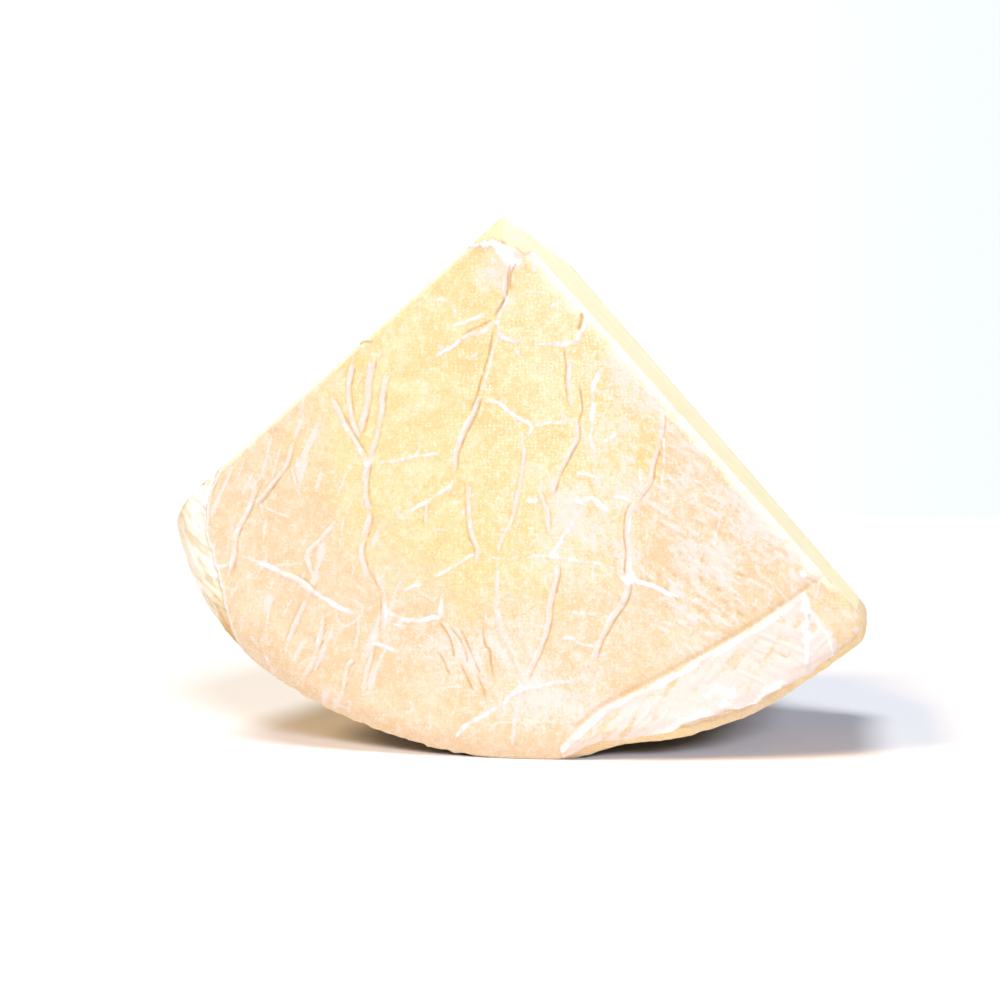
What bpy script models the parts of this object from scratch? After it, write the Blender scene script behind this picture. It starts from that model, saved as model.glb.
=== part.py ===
# A quarter wheel of cloth-bound cheddar that stands on its rim, tip up.
# Metres, +Z up. A flat rind face looks along -Y, and the two cut faces meet in the tip line on top.
# The wedge is shaped with the tip at x = 0, z = 0 and the front face at y = 0, then set on z = 0.

import math

import bmesh
import bpy
import numpy as np
from mathutils import Matrix

NAME = "cheddar_wedge"
MM = 0.001

# Wheel and cuts, seen square to the rind face from the tip
THICKNESS = 0.104
RIM_RADIUS = 0.1290
RIM_CENTRE = np.array([0.0060, -0.0125])
RIGHT_CUT = math.radians(48.3)
LEFT_CUT = math.radians(139.7)
BACK_TWIST = math.radians(0.9)
REST_DEPTH = 0.1408

# Left end, where the rim is pressed in: from the end of the true circle it bends up a leaning flank
RIM_END = math.radians(116.2)
FLANK_TOP = np.array([-0.0921, -0.0800])
FLANK_LEAN = math.radians(74.3)
CORNER_ROUND = 0.0065

# Rounding between the rind faces and the rim, and how little the knife cuts lean in beside them
SHOULDER_LEFT = 0.0105
SHOULDER_RIGHT = 0.0060
CUT_LEAN = 0.0003

# Steps of the mesh round the outline and from front to back
RIGHT_EDGE_STEPS = 11
RIM_STEPS = 30
LEFT_END_STEPS = 16
LEFT_EDGE_STEPS = 9
FACE_RINGS = 5
SHOULDER_STEPS = 4
WALL_STEPS = 6
ARC_STEPS = 24
MIDDLE_REACH = 0.55

# Slow swells of the hand-pressed surface, and dents of the rim: angle, half width, depth
FACE_SWELL = 0.0006
RIM_SWELL = 0.0004
SWELL_PITCH = 0.019
RIM_DENTS = (
    (math.radians(77.5), math.radians(4.5), 0.0024),
    (math.radians(63.0), math.radians(5.0), -0.0010),
)

# Folds of the cloth: start x and z, end x and z, bow to the left of the run, half width, in mm
FOLDS = (
    (4.5, -8.9, -1.6, -27.4, -0.6, 1.3),
    (-1.6, -27.4, -8.7, -51.4, 0.8, 1.2),
    (-8.7, -51.4, -14.0, -69.6, -0.6, 1.3),
    (-14.0, -69.6, -24.7, -76.6, 0.5, 0.8),
    (-1.6, -27.4, -18.0, -37.0, -0.9, 1.0),
    (-0.8, -30.8, 16.2, -34.6, -0.6, 0.9),
    (21.4, -27.3, 17.3, -36.2, 1.4, 1.1),
    (17.3, -36.2, 17.8, -50.3, 0.8, 1.0),
    (20.1, -45.2, 18.8, -58.1, 0.6, 1.1),
    (18.8, -58.1, 11.5, -82.5, -1.2, 0.9),
    (-5.5, -48.1, 7.1, -54.1, 1.3, 0.7),
    (7.1, -54.1, 17.5, -53.4, 0.7, 0.8),
    (7.1, -54.6, 0.5, -78.7, 1.8, 0.8),
    (0.5, -78.7, -0.8, -105.9, -1.2, 0.9),
    (40.0, -49.3, 40.0, -63.3, 1.3, 1.2),
    (40.0, -63.3, 32.3, -93.2, -2.4, 1.2),
    (32.3, -93.2, 23.3, -115.1, 1.1, 1.1),
    (32.3, -93.2, 12.3, -87.7, -0.7, 0.9),
    (12.3, -87.7, -6.1, -86.5, 1.1, 0.8),
    (32.3, -93.2, 44.6, -96.4, 0.5, 0.9),
    (12.3, -87.7, 18.8, -79.9, -0.6, 0.9),
    (14.9, -73.5, 25.3, -73.5, -0.4, 0.7),
    (13.6, -88.9, 7.1, -118.7, 1.6, 1.1),
    (7.1, -118.7, 3.0, -131.0, -1.4, 1.0),
    (3.7, -122.6, -11.5, -131.0, 0.8, 0.8),
    (4.5, -122.6, 18.8, -120.3, 0.5, 0.8),
    (-45.0, -48.5, -36.8, -63.0, -0.5, 1.2),
    (-36.8, -63.0, -35.5, -78.7, -0.4, 1.2),
    (-35.5, -78.7, -32.3, -106.2, -2.3, 1.0),
    (-33.3, -44.7, -36.3, -63.0, 0.7, 0.9),
    (-35.5, -36.8, -37.7, -49.9, 0.5, 0.9),
    (-35.5, -63.0, -14.0, -61.0, -0.5, 0.8),
    (-55.9, -56.3, -66.3, -72.2, 2.8, 0.9),
    (-66.3, -72.2, -75.2, -96.1, -0.8, 1.1),
    (-72.4, -88.6, -46.3, -99.8, 1.4, 0.9),
    (-46.3, -99.8, -15.4, -103.4, -2.5, 0.9),
    (-6.1, -86.5, -24.7, -97.0, -0.8, 0.8),
    (-6.4, -7.8, 4.0, -9.0, 1.5, 1.1),
)

# Rows of small pleats: first x and z, step x and z, run x and z, count, half width, in mm
PLEATS = (
    (-25.0, -106.5, 5.2, -1.3, 6.0, -15.0, 4, 0.6),
    (-59.0, -102.0, 5.4, -2.9, -2.5, -12.0, 4, 0.7),
)
PLEAT_BOW = 0.8
FOLD_STEPS = 6
FOLD_SUNK = 0.0003
FOLD_END_SHARE = 0.35

# Lap of the cloth near the right end, with one straight edge across the face
LAP_START = np.array([0.0150, -0.1345])
LAP_END = np.array([0.0790, -0.0955])
LAP_RISE = 0.0012
LAP_BACK = 0.0030
LAP_INSET = 0.0040
LAP_SIDE_GAP = 0.0015
LAP_STEPS = 14

RIND_COLOUR = (0.86, 0.67, 0.40, 1.0)
RIND_ROUGHNESS = 0.62


def clear_scene():
    for old in list(bpy.data.objects):
        bpy.data.objects.remove(old, do_unlink=True)


def direction(angle):
    """Unit vector that points away from the tip, at an angle below the horizontal."""
    return np.array([math.cos(angle), -math.sin(angle)])


def rim_point(angle, inset=0.0):
    """Where a line from the tip at an angle meets the rim circle, or a circle inset from it."""
    along = direction(angle)
    reach = along @ RIM_CENTRE
    radius = RIM_RADIUS - inset
    return along * (reach + math.sqrt(reach ** 2 + radius ** 2 - RIM_CENTRE @ RIM_CENTRE))


def angle_of(points):
    """Angle of points below the horizontal, seen from the tip."""
    return np.arctan2(-points[..., 1], points[..., 0])


def crossing(start, run, other_start, other_run):
    """Where two lines in the plane of the face cross."""
    reach, _ = np.linalg.solve(np.stack([run, -other_run], 1), other_start - start)
    return start + run * reach


def rounded(before, corner, after, radius):
    """Arc that rounds the corner between two straight runs."""
    to_before = (before - corner) / np.linalg.norm(before - corner)
    to_after = (after - corner) / np.linalg.norm(after - corner)
    half_angle = math.acos(to_before @ to_after) / 2
    bisector = (to_before + to_after) / np.linalg.norm(to_before + to_after)
    middle = corner + bisector * radius / math.sin(half_angle)
    first = corner + to_before * radius / math.tan(half_angle) - middle
    last = corner + to_after * radius / math.tan(half_angle) - middle
    sweep = math.pi - 2 * half_angle
    share = np.linspace(0.0, 1.0, ARC_STEPS)[:, None]
    return middle + (first * np.sin((1 - share) * sweep) + last * np.sin(share * sweep)) / math.sin(sweep)


def even(points, steps):
    """The start and the inner points of a line, spread evenly along its length."""
    lengths = np.linalg.norm(np.diff(points, axis=0), axis=1)
    along = np.concatenate([[0.0], np.cumsum(lengths)])
    wanted = np.linspace(0.0, along[-1], steps + 1)[:-1]
    return np.stack([np.interp(wanted, along, points[:, 0]), np.interp(wanted, along, points[:, 1])], 1)


def wedge_outline():
    """Outline of the rind face from the tip, down the right cut, and whether each point is on the rim."""
    tip = np.zeros(2)
    flank = direction(FLANK_LEAN)
    left_corner = crossing(tip, direction(LEFT_CUT), FLANK_TOP, flank)
    rim_arc = np.array([rim_point(angle) for angle in np.linspace(RIGHT_CUT, RIM_END, ARC_STEPS * 3)])
    rim_run = np.array([1.0, -1.0]) * (rim_arc[-1] - RIM_CENTRE)[::-1]
    foot = crossing(rim_arc[-1], rim_run, FLANK_TOP, flank)
    foot_angle = math.acos(rim_run @ flank / np.linalg.norm(rim_run))
    foot_radius = np.linalg.norm(rim_arc[-1] - foot) * math.tan(foot_angle / 2)
    foot_arc = rounded(rim_arc[-1], foot, left_corner, foot_radius)
    corner_arc = rounded(foot, left_corner, tip, CORNER_ROUND)
    right_edge = even(np.array([tip, rim_arc[0]]), RIGHT_EDGE_STEPS)
    rim = even(rim_arc, RIM_STEPS)
    left_end = even(np.concatenate([foot_arc, corner_arc]), LEFT_END_STEPS)
    left_edge = even(np.array([corner_arc[-1], tip]), LEFT_EDGE_STEPS)
    points = np.concatenate([right_edge, rim, left_end, left_edge])
    on_rim = np.zeros(len(points), dtype=bool)
    on_rim[RIGHT_EDGE_STEPS:RIGHT_EDGE_STEPS + RIM_STEPS + LEFT_END_STEPS + 1] = True
    return points, on_rim


def edge_roundings(points, on_rim):
    """Depth of the rounding at each outline point, and how the face draws in there."""
    share = np.clip((angle_of(points) - RIGHT_CUT) / (LEFT_CUT - RIGHT_CUT), 0.0, 1.0)
    shoulder = SHOULDER_RIGHT + (SHOULDER_LEFT - SHOULDER_RIGHT) * share
    inward = np.where(on_rim[:, None], -points, points.mean(axis=0) - points)
    inward /= np.linalg.norm(inward, axis=1)[:, None]
    return shoulder, inward * np.where(on_rim, shoulder, CUT_LEAN)[:, None]


def body_rows():
    """Rows from the middle of the front face to the middle of the back face.

    Each holds the reach from the middle to the edge, the share of the inset, how many roundings
    deep it is, the share of the wall passed, and the side: -1 front, 0 wall, 1 back.
    """
    turns = [step / SHOULDER_STEPS * math.pi / 2 for step in range(1, SHOULDER_STEPS + 1)]
    front = [(ring / FACE_RINGS, 1.0, 0.0, 0.0, -1) for ring in range(FACE_RINGS + 1)]
    front += [(1.0, 1 - math.sin(turn), 1 - math.cos(turn), 0.0, -1) for turn in turns]
    wall = [(1.0, 0.0, 1.0, step / WALL_STEPS, 0) for step in range(1, WALL_STEPS)]
    back = [(reach, share, 2 - deep, 1.0, 1) for reach, share, deep, _, _ in reversed(front)]
    return np.array(front + wall + back)


def face_swell(x, z):
    """Slow swells of a rind face, as crossed waves."""
    crossed = np.sin(x / SWELL_PITCH + 0.6) * np.sin(z / SWELL_PITCH / 1.3 + 1.1)
    slanted = np.sin(x / SWELL_PITCH * 1.7 - z / SWELL_PITCH * 1.2)
    return FACE_SWELL * (crossed + 0.5 * slanted)


def rim_swell(angle, depth):
    """Slow swells of the rim, round the wheel and across it, and its dents, which fade to the back."""
    round_wheel = np.sin(angle * 9.0 + 1.0) * np.cos(depth / SWELL_PITCH)
    swell = RIM_SWELL * (round_wheel + 0.6 * np.sin(angle * 5.0 - depth / SWELL_PITCH * 1.6))
    for middle, half_width, dent in RIM_DENTS:
        swell -= dent * np.exp(-((angle - middle) / half_width) ** 2) * (1 - depth / THICKNESS)
    return swell


def body_places(meridian, ring):
    """Places of the body's points from the numbers of their meridians and rings."""
    outline, on_rim = wedge_outline()
    shoulder, draw_in = edge_roundings(outline, on_rim)
    middle = outline[on_rim].mean(axis=0) * MIDDLE_REACH
    reach, inset_share, deep, wall_share, side = body_rows()[ring].T
    edge = outline[meridian] + draw_in[meridian] * inset_share[:, None]
    depth = shoulder[meridian] * deep + wall_share * (THICKNESS - 2 * shoulder[meridian])
    swell = rim_swell(angle_of(edge), depth) * (1 - inset_share) * on_rim[meridian]
    edge = edge * (1 + swell / RIM_RADIUS)[:, None]
    x, z = (middle + (edge - middle) * reach[:, None]).T
    depth = depth + side * inset_share * face_swell(x, z)
    share = np.clip((LEFT_CUT - np.arctan2(-z, x)) / (LEFT_CUT - RIGHT_CUT), 0.0, 1.0)
    turn = BACK_TWIST * share * depth / THICKNESS
    x, z = x * np.cos(turn) + z * np.sin(turn), z * np.cos(turn) - x * np.sin(turn)
    return np.stack([x, depth, np.maximum(z, -REST_DEPTH)], 1)


def make_body(material):
    """The wedge: a sphere whose meridians go to the outline and whose rings go to the rows."""
    meridians = RIGHT_EDGE_STEPS + RIM_STEPS + LEFT_END_STEPS + LEFT_EDGE_STEPS
    last_ring = len(body_rows()) - 1
    bm = bmesh.new()
    bmesh.ops.create_uvsphere(bm, u_segments=meridians, v_segments=last_ring, radius=1.0)
    places = np.array([vert.co for vert in bm.verts])
    ring = np.rint(np.arccos(np.clip(places[:, 2], -1.0, 1.0)) / math.pi * last_ring).astype(int)
    turn = np.arctan2(-places[:, 1], places[:, 0]) / (2 * math.pi)
    meridian = np.rint(turn * meridians).astype(int) % meridians
    for vert, place in zip(bm.verts, body_places(meridian, ring)):
        vert.co = place
    mesh = bpy.data.meshes.new(NAME)
    bm.to_mesh(mesh)
    bm.free()
    mesh.materials.append(material)
    body = bpy.data.objects.new(NAME, mesh)
    bpy.context.scene.collection.objects.link(body)
    return body


def as_mesh(curve_object, collection):
    """Turn a curve object into a closed mesh object in a collection."""
    evaluated = curve_object.evaluated_get(bpy.context.evaluated_depsgraph_get())
    mesh = bpy.data.meshes.new_from_object(evaluated)
    bm = bmesh.new()
    bm.from_mesh(mesh)
    bmesh.ops.remove_doubles(bm, verts=bm.verts, dist=0.00001)
    bm.to_mesh(mesh)
    bm.free()
    solid = bpy.data.objects.new(curve_object.name + "_solid", mesh)
    solid.matrix_world = curve_object.matrix_world.copy()
    collection.objects.link(solid)
    bpy.data.objects.remove(curve_object, do_unlink=True)


def make_fold(name, start, end, bow, half_width, collection):
    """One raised fold: a bowed tube, thin at its ends, sunk nearly to its middle in the front face."""
    run = end - start
    left = np.array([-run[1], run[0]]) / np.linalg.norm(run)
    share = np.linspace(0.0, 1.0, FOLD_STEPS + 1)
    arch = 1 - (2 * share - 1) ** 2
    x, z = (start + share[:, None] * run + (arch * bow)[:, None] * left).T
    y = FOLD_SUNK - face_swell(x, z)
    curve = bpy.data.curves.new(name, "CURVE")
    curve.dimensions = "3D"
    curve.bevel_depth = half_width
    curve.bevel_resolution = 1
    curve.use_fill_caps = True
    spline = curve.splines.new("POLY")
    spline.points.add(FOLD_STEPS)
    for point, place, lift in zip(spline.points, zip(x, y, z), arch):
        point.co = (*place, 1.0)
        point.radius = FOLD_END_SHARE + (1 - FOLD_END_SHARE) * lift
    fold = bpy.data.objects.new(name, curve)
    bpy.context.scene.collection.objects.link(fold)
    bpy.context.view_layer.update()
    as_mesh(fold, collection)


def make_folds(collection):
    for index, fold in enumerate(FOLDS):
        x, z, end_x, end_z, bow, half_width = (value * MM for value in fold)
        make_fold(f"fold_{index:02d}", np.array([x, z]), np.array([end_x, end_z]), bow, half_width,
                  collection)


def make_pleats(collection):
    for row, (x, z, step_x, step_z, run_x, run_z, count, half_width) in enumerate(PLEATS):
        for index in range(count):
            start = np.array([x + index * step_x, z + index * step_z]) * MM
            end = start + np.array([run_x, run_z]) * MM
            make_fold(f"pleat_{row}_{index}", start, end, PLEAT_BOW * MM, half_width * MM, collection)


def make_lap(collection):
    """The lap of cloth: a thin plate between its straight edge, the right cut and the rim's shoulder."""
    side = direction(RIGHT_CUT + math.asin(LAP_SIDE_GAP / RIM_RADIUS))
    first_angle = angle_of(side)
    last_angle = angle_of(LAP_START)
    arc = [rim_point(angle, LAP_INSET) for angle in np.linspace(first_angle, last_angle, LAP_STEPS)]
    top = side * (np.linalg.norm(LAP_END))
    outline = [LAP_START, LAP_END, top] + arc
    curve = bpy.data.curves.new("lap", "CURVE")
    curve.dimensions = "2D"
    curve.fill_mode = "BOTH"
    curve.extrude = (LAP_RISE + LAP_BACK) / 2
    spline = curve.splines.new("POLY")
    spline.points.add(len(outline) - 1)
    for point, place in zip(spline.points, outline):
        point.co = (*place, 0.0, 1.0)
    spline.use_cyclic_u = True
    lap = bpy.data.objects.new("lap", curve)
    lap.matrix_world = (Matrix.Translation((0.0, (LAP_BACK - LAP_RISE) / 2, 0.0))
                        @ Matrix.Rotation(math.pi / 2, 4, "X"))
    bpy.context.scene.collection.objects.link(lap)
    bpy.context.view_layer.update()
    as_mesh(lap, collection)


def join_relief(body, collection):
    """One Boolean union of the body with every fold and the lap."""
    union = body.modifiers.new("relief", "BOOLEAN")
    union.operation = "UNION"
    union.operand_type = "COLLECTION"
    union.collection = collection
    bpy.context.view_layer.update()
    evaluated = body.evaluated_get(bpy.context.evaluated_depsgraph_get())
    joined = bpy.data.meshes.new_from_object(evaluated)
    body.modifiers.clear()
    body.data = joined
    joined.name = NAME
    for part in list(collection.objects):
        bpy.data.objects.remove(part, do_unlink=True)
    bpy.data.collections.remove(collection)


def stand_on_ground(body):
    """Move the mesh so that the middle of its box's bottom is at the origin."""
    places = np.array([vert.co for vert in body.data.vertices])
    low, high = places.min(axis=0), places.max(axis=0)
    middle = (low + high) / 2
    body.data.transform(Matrix.Translation((-middle[0], -middle[1], -low[2])))


def rind_material():
    material = bpy.data.materials.new("cloth_rind")
    material.use_nodes = True
    shader = material.node_tree.nodes["Principled BSDF"]
    shader.inputs["Base Color"].default_value = RIND_COLOUR
    shader.inputs["Roughness"].default_value = RIND_ROUGHNESS
    shader.inputs["Metallic"].default_value = 0.0
    return material


def build():
    clear_scene()
    wedge = bpy.data.collections.new(NAME)
    relief = bpy.data.collections.new("relief")
    bpy.context.scene.collection.children.link(wedge)
    bpy.context.scene.collection.children.link(relief)
    body = make_body(rind_material())
    make_folds(relief)
    make_pleats(relief)
    make_lap(relief)
    join_relief(body, relief)
    stand_on_ground(body)
    bpy.context.scene.collection.objects.unlink(body)
    wedge.objects.link(body)


build()
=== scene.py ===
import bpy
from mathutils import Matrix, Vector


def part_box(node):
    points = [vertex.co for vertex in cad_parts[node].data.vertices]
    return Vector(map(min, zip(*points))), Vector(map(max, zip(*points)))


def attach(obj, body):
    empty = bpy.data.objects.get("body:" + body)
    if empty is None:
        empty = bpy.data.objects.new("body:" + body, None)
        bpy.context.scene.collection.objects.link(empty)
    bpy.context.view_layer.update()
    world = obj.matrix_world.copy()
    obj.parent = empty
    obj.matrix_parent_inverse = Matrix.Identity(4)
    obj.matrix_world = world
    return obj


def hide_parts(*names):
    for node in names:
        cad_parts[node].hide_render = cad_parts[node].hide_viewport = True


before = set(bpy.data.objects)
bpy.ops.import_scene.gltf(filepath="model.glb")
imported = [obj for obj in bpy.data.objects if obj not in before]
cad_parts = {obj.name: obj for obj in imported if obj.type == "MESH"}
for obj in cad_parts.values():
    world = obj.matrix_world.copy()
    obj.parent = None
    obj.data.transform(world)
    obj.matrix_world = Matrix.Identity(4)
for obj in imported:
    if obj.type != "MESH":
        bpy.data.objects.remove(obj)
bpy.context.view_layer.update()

import math

import bmesh
import bpy
import numpy as np
from mathutils import Vector

mm = 0.001

# Shapes are worked out in mm, with the tip line's front end at x = 0, z = 0 and the front rind face at y = 0.
# Angles are seen from the tip, in degrees below the horizontal, from the right cut to the left cut.
# The tip in the frame, in metres: on the top of the box, with the front rind face a little inside it.
tipX, faceInset = -0.00146, 0.00165
nearCorner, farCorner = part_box("cheddar_wedge")
tip = np.array([tipX, nearCorner.y + faceInset, farCorner.z])

wheel = {
    "thickness": 104.0,
    "radius": 129.0,
    "centre": (6.0, -12.5),  # x and z
    "rightCut": 48.3,
    "leftCut": 139.7,
    "restDepth": 140.8,  # from the tip down to the table
    "twist": 0.9,  # degrees by which the left cut turns from front to back
    "rimEnd": 116.2,  # angle where the circle ends and the pressed left end starts
    "flankTop": (-92.1, -80.0),
    "flankLean": 74.3,
    "cornerRound": 6.5,
    "rightRound": 5.5,
    "shoulderLeft": 10.5,
    "shoulderRight": 6.0,
    "swell": 0.6,
    "rimSwell": 0.4,
    "swellPitch": 19.0,
    "dents": ((77.5, 4.5, 2.4), (63.0, 5.0, -1.0)),  # angle, half width, depth
}


# Surfaces

def direction(angle):
    # Unit vectors away from the tip at angles in radians: cosine along x, minus sine along z.
    return np.stack([np.cos(angle), -np.sin(angle)], -1)


def crossing(start, run, otherStart, otherRun):
    # Where two lines cross, from the two shares of their runs.
    reach, _ = np.linalg.solve(np.stack([run, -otherRun], 1), otherStart - start)
    return start + run * reach


def roundedCorner(before, corner, after, radius):
    # Arc between two runs: the first and last spokes of the circle blended by the sines of their shares.
    toBefore = (before - corner) / np.linalg.norm(before - corner)
    toAfter = (after - corner) / np.linalg.norm(after - corner)
    half = math.acos(toBefore @ toAfter) / 2
    bisector = (toBefore + toAfter) / np.linalg.norm(toBefore + toAfter)
    middle = corner + bisector * radius / math.sin(half)
    first = corner + toBefore * radius / math.tan(half) - middle
    last = corner + toAfter * radius / math.tan(half) - middle
    sweep = math.pi - 2 * half
    share = np.linspace(0.0, 1.0, 40)[:, None]
    return middle + (first * np.sin((1 - share) * sweep) + last * np.sin(share * sweep)) / math.sin(sweep)


def lengthsAlong(points):
    # Length walked along a line up to each of its points: the running sum of its steps.
    return np.concatenate([[0.0], np.cumsum(np.linalg.norm(np.diff(points, axis=0), axis=1))])


def placesAt(points, lengths, wanted):
    # Places on a line at the wanted lengths.
    return np.stack([np.interp(wanted, lengths, points[:, k]) for k in (0, 1)], 1)


def tabled(value, pairs):
    # Value read between the entries of a table of pairs.
    return np.interp(value, *np.transpose(pairs))


def rimLine(columns):
    # Outline from the right corner to the left one: circle, bend, flank and corner, at even lengths.
    centre = np.array(wheel["centre"])
    angles = np.radians(np.linspace(wheel["rightCut"], wheel["rimEnd"], 300))
    along = direction(angles)
    reach = along @ centre
    arc = along * (reach + np.sqrt(reach ** 2 + wheel["radius"] ** 2 - centre @ centre))[:, None]
    flank = direction(math.radians(wheel["flankLean"]))
    flankTop = np.array(wheel["flankTop"])
    leftCorner = crossing(np.zeros(2), direction(math.radians(wheel["leftCut"])), flankTop, flank)
    rimRun = np.array([1.0, -1.0]) * (arc[-1] - centre)[::-1]
    foot = crossing(arc[-1], rimRun, flankTop, flank)
    footAngle = math.acos(rimRun @ flank / np.linalg.norm(rimRun))
    bend = roundedCorner(arc[-1], foot, leftCorner, np.linalg.norm(arc[-1] - foot) * math.tan(footAngle / 2))
    corner = roundedCorner(foot, leftCorner, np.zeros(2), wheel["cornerRound"])
    rightEnd = roundedCorner(np.zeros(2), arc[0], arc[12], wheel["rightRound"])
    rightAngle = math.atan2(-rightEnd[-1, 1], rightEnd[-1, 0])
    points = np.concatenate([rightEnd, arc[angles > rightAngle + 1e-3], bend, corner])
    lengths = lengthsAlong(points)
    return placesAt(points, lengths, np.linspace(0.0, lengths[-1], columns))


def faceSwell(x, z):
    # Slow swells of a rind face: crossed waves plus half a slanted wave.
    pitch = wheel["swellPitch"]
    crossed = np.sin(x / pitch + 0.6) * np.sin(z / pitch / 1.3 + 1.1)
    return wheel["swell"] * (crossed + 0.5 * np.sin(x / pitch * 1.7 - z / pitch * 1.2))


def rimSwell(angle, depth):
    # Slow swells of the rim: waves round the wheel and across it, less the dents, which fade backwards.
    pitch = wheel["swellPitch"]
    waves = np.sin(angle * 9.0 + 1.0) * np.cos(depth / pitch)
    swell = wheel["rimSwell"] * (waves + 0.6 * np.sin(angle * 5.0 - depth / pitch * 1.6))
    for middle, halfWidth, dent in wheel["dents"]:
        away = (angle - math.radians(middle)) / math.radians(halfWidth)
        swell = swell - dent * np.exp(-away ** 2) * (1 - depth / wheel["thickness"])
    return swell


def spokes(columns):
    # Angle, reach from the tip and shoulder size for each column of a rind piece.
    outline = rimLine(columns)
    angle = np.arctan2(-outline[:, 1], outline[:, 0])
    share = (np.degrees(angle) - wheel["rightCut"]) / (wheel["leftCut"] - wheel["rightCut"])
    left, right = wheel["shoulderLeft"], wheel["shoulderRight"]
    return angle, np.linalg.norm(outline, axis=1), right + (left - right) * np.clip(share, 0, 1)


def spread(shape, *rows):
    # Rows of values repeated to fill a grid.
    return (np.broadcast_to(row, shape) for row in rows)


def fullPath(reach, shoulder):
    # Length of the walk from the front tip out along a spoke, back round the rim and in to the back tip.
    return 2 * (reach - shoulder) + shoulder * math.pi + wheel["thickness"] - 2 * shoulder


def cutGaps(radius, angle):
    # Distances from the right cut and the left cut: the radius times the sine of the angle between.
    rightGap = radius * np.sin(angle - math.radians(wheel["rightCut"]))
    return rightGap, radius * np.sin(math.radians(wheel["leftCut"]) - angle)


def wrap(path, angle, reach, shoulder, lift):
    # Place on the wedge's skin, from the path walked from the front tip along a spoke.
    # The walk goes straight out on the front face, a quarter turn round the front shoulder, back along
    # the rim, a quarter turn round the back shoulder and in again. The lift goes along the outward normal.
    face = reach - shoulder
    flat = wheel["thickness"] - 2 * shoulder
    quarter = shoulder * math.pi / 2
    turn = np.clip((path - face) / shoulder, 0, math.pi / 2)
    turn = turn + np.clip((path - face - quarter - flat) / shoulder, 0, math.pi / 2)
    inward = np.maximum(path - face - 2 * quarter - flat, 0)
    radius = np.minimum(path, face) - inward + shoulder * np.sin(turn)
    depth = shoulder * (1 - np.cos(turn)) + np.clip(path - face - quarter, 0, flat)
    onFace = 1 - np.sin(turn)
    radius = radius * (1 + rimSwell(angle, depth) * (1 - onFace) / wheel["radius"])
    x, z = radius * np.cos(angle), -radius * np.sin(angle)
    depth = depth - np.cos(turn) * onFace * faceSwell(x, z)
    x = x + lift * np.sin(turn) * np.cos(angle)
    z = z - lift * np.sin(turn) * np.sin(angle)
    depth = depth - lift * np.cos(turn)
    return standing(x, depth, z)


def standing(x, depth, z):
    # Turn the left cut slightly towards the back, then stop at the ground.
    leftCut, rightCut = math.radians(wheel["leftCut"]), math.radians(wheel["rightCut"])
    share = np.clip((leftCut - np.arctan2(-z, x + 1e-9)) / (leftCut - rightCut), 0, 1)
    turn = math.radians(wheel["twist"]) * share * depth / wheel["thickness"]
    x, z = x * np.cos(turn) + z * np.sin(turn), z * np.cos(turn) - x * np.sin(turn)
    return np.stack([x, depth, np.maximum(z, -wheel["restDepth"])], -1)


def blur(x, y, pitch, seed):
    # Smooth noise from -1 to 1: seeded values on a square lattice, blended by smooth steps.
    side = 97  # cells before the noise repeats
    lattice = np.random.default_rng(seed).random((side, side)) * 2 - 1
    column, row = np.floor(x / pitch).astype(int), np.floor(y / pitch).astype(int)
    u, v = x / pitch - column, y / pitch - row
    u, v = u * u * (3 - 2 * u), v * v * (3 - 2 * v)
    a, b, c, d = (lattice[(row + down) % side, (column + right) % side]
                  for down in (0, 1) for right in (0, 1))
    return (a * (1 - u) + b * u) * (1 - v) + (c * (1 - u) + d * u) * v


def step(value, start, end):
    # Smooth step from 0 at the start to 1 at the end.
    share = np.clip((value - start) / (end - start), 0, 1)
    return share * share * (3 - 2 * share)


def bell(value, middle, width):
    # Bump with its top, 1, at the middle: e to the minus square of the distance over the width.
    return np.exp(-((value - middle) / width) ** 2)


def spot(x, z, middleX, middleZ, sizeX, sizeZ):
    # Round bump: e to the minus sum of the squares of both distances over their sizes.
    return np.exp(-(((x - middleX) / sizeX) ** 2 + ((z - middleZ) / sizeZ) ** 2))


def fading(distance, size):
    # 1 up to distance 0, then e to the minus distance over the size.
    return np.exp(-np.clip(distance, 0, None) / size)


def curveThrough(points, perRun=14):
    # Smooth line through points: each run is the cubic that leaves and arrives along its neighbours.
    points = np.array(points, dtype=float)
    padded = np.concatenate([[2 * points[0] - points[1]], points, [2 * points[-1] - points[-2]]])
    share = np.linspace(0, 1, perRun, endpoint=False)[None, :, None]
    a, b, c, d = (padded[start:len(padded) - 3 + start, None] for start in range(4))
    line = 0.5 * (2 * b + (c - a) * share + (2 * a - 5 * b + 4 * c - d) * share ** 2
                  + (3 * b - a - 3 * c + d) * share ** 3)
    return np.concatenate([line.reshape(-1, points.shape[1]), points[-1:]])


def nearestOn(line, run, x, z):
    # Number of the line's nearest point, the distance to it, and the side: positive left of the run.
    gapX, gapZ = x[:, None] - line[None, :, 0], z[:, None] - line[None, :, 1]
    squares = gapX ** 2 + gapZ ** 2
    nearest = squares.argmin(1)
    rows = np.arange(len(x))
    left = run[nearest, 0] * gapZ[rows, nearest] - run[nearest, 1] * gapX[rows, nearest]
    return nearest, np.sqrt(squares[rows, nearest]), left


def runsOf(line):
    # Unit vectors along a line at each of its points.
    run = np.gradient(line, axis=0)
    return run / (np.linalg.norm(run, axis=1)[:, None] + 1e-9)


# Meshes

def toScene(name, data):
    # New object in the scene.
    thing = bpy.data.objects.new(name, data)
    bpy.context.scene.collection.objects.link(thing)
    return thing


def loopOf(rows, columns):
    # Numbers of a grid's border points, once round.
    index = np.arange(rows * columns).reshape(rows, columns)
    return np.concatenate([index[0, :-1], index[:-1, -1], index[-1, :0:-1], index[:0:-1, 0]])


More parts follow.
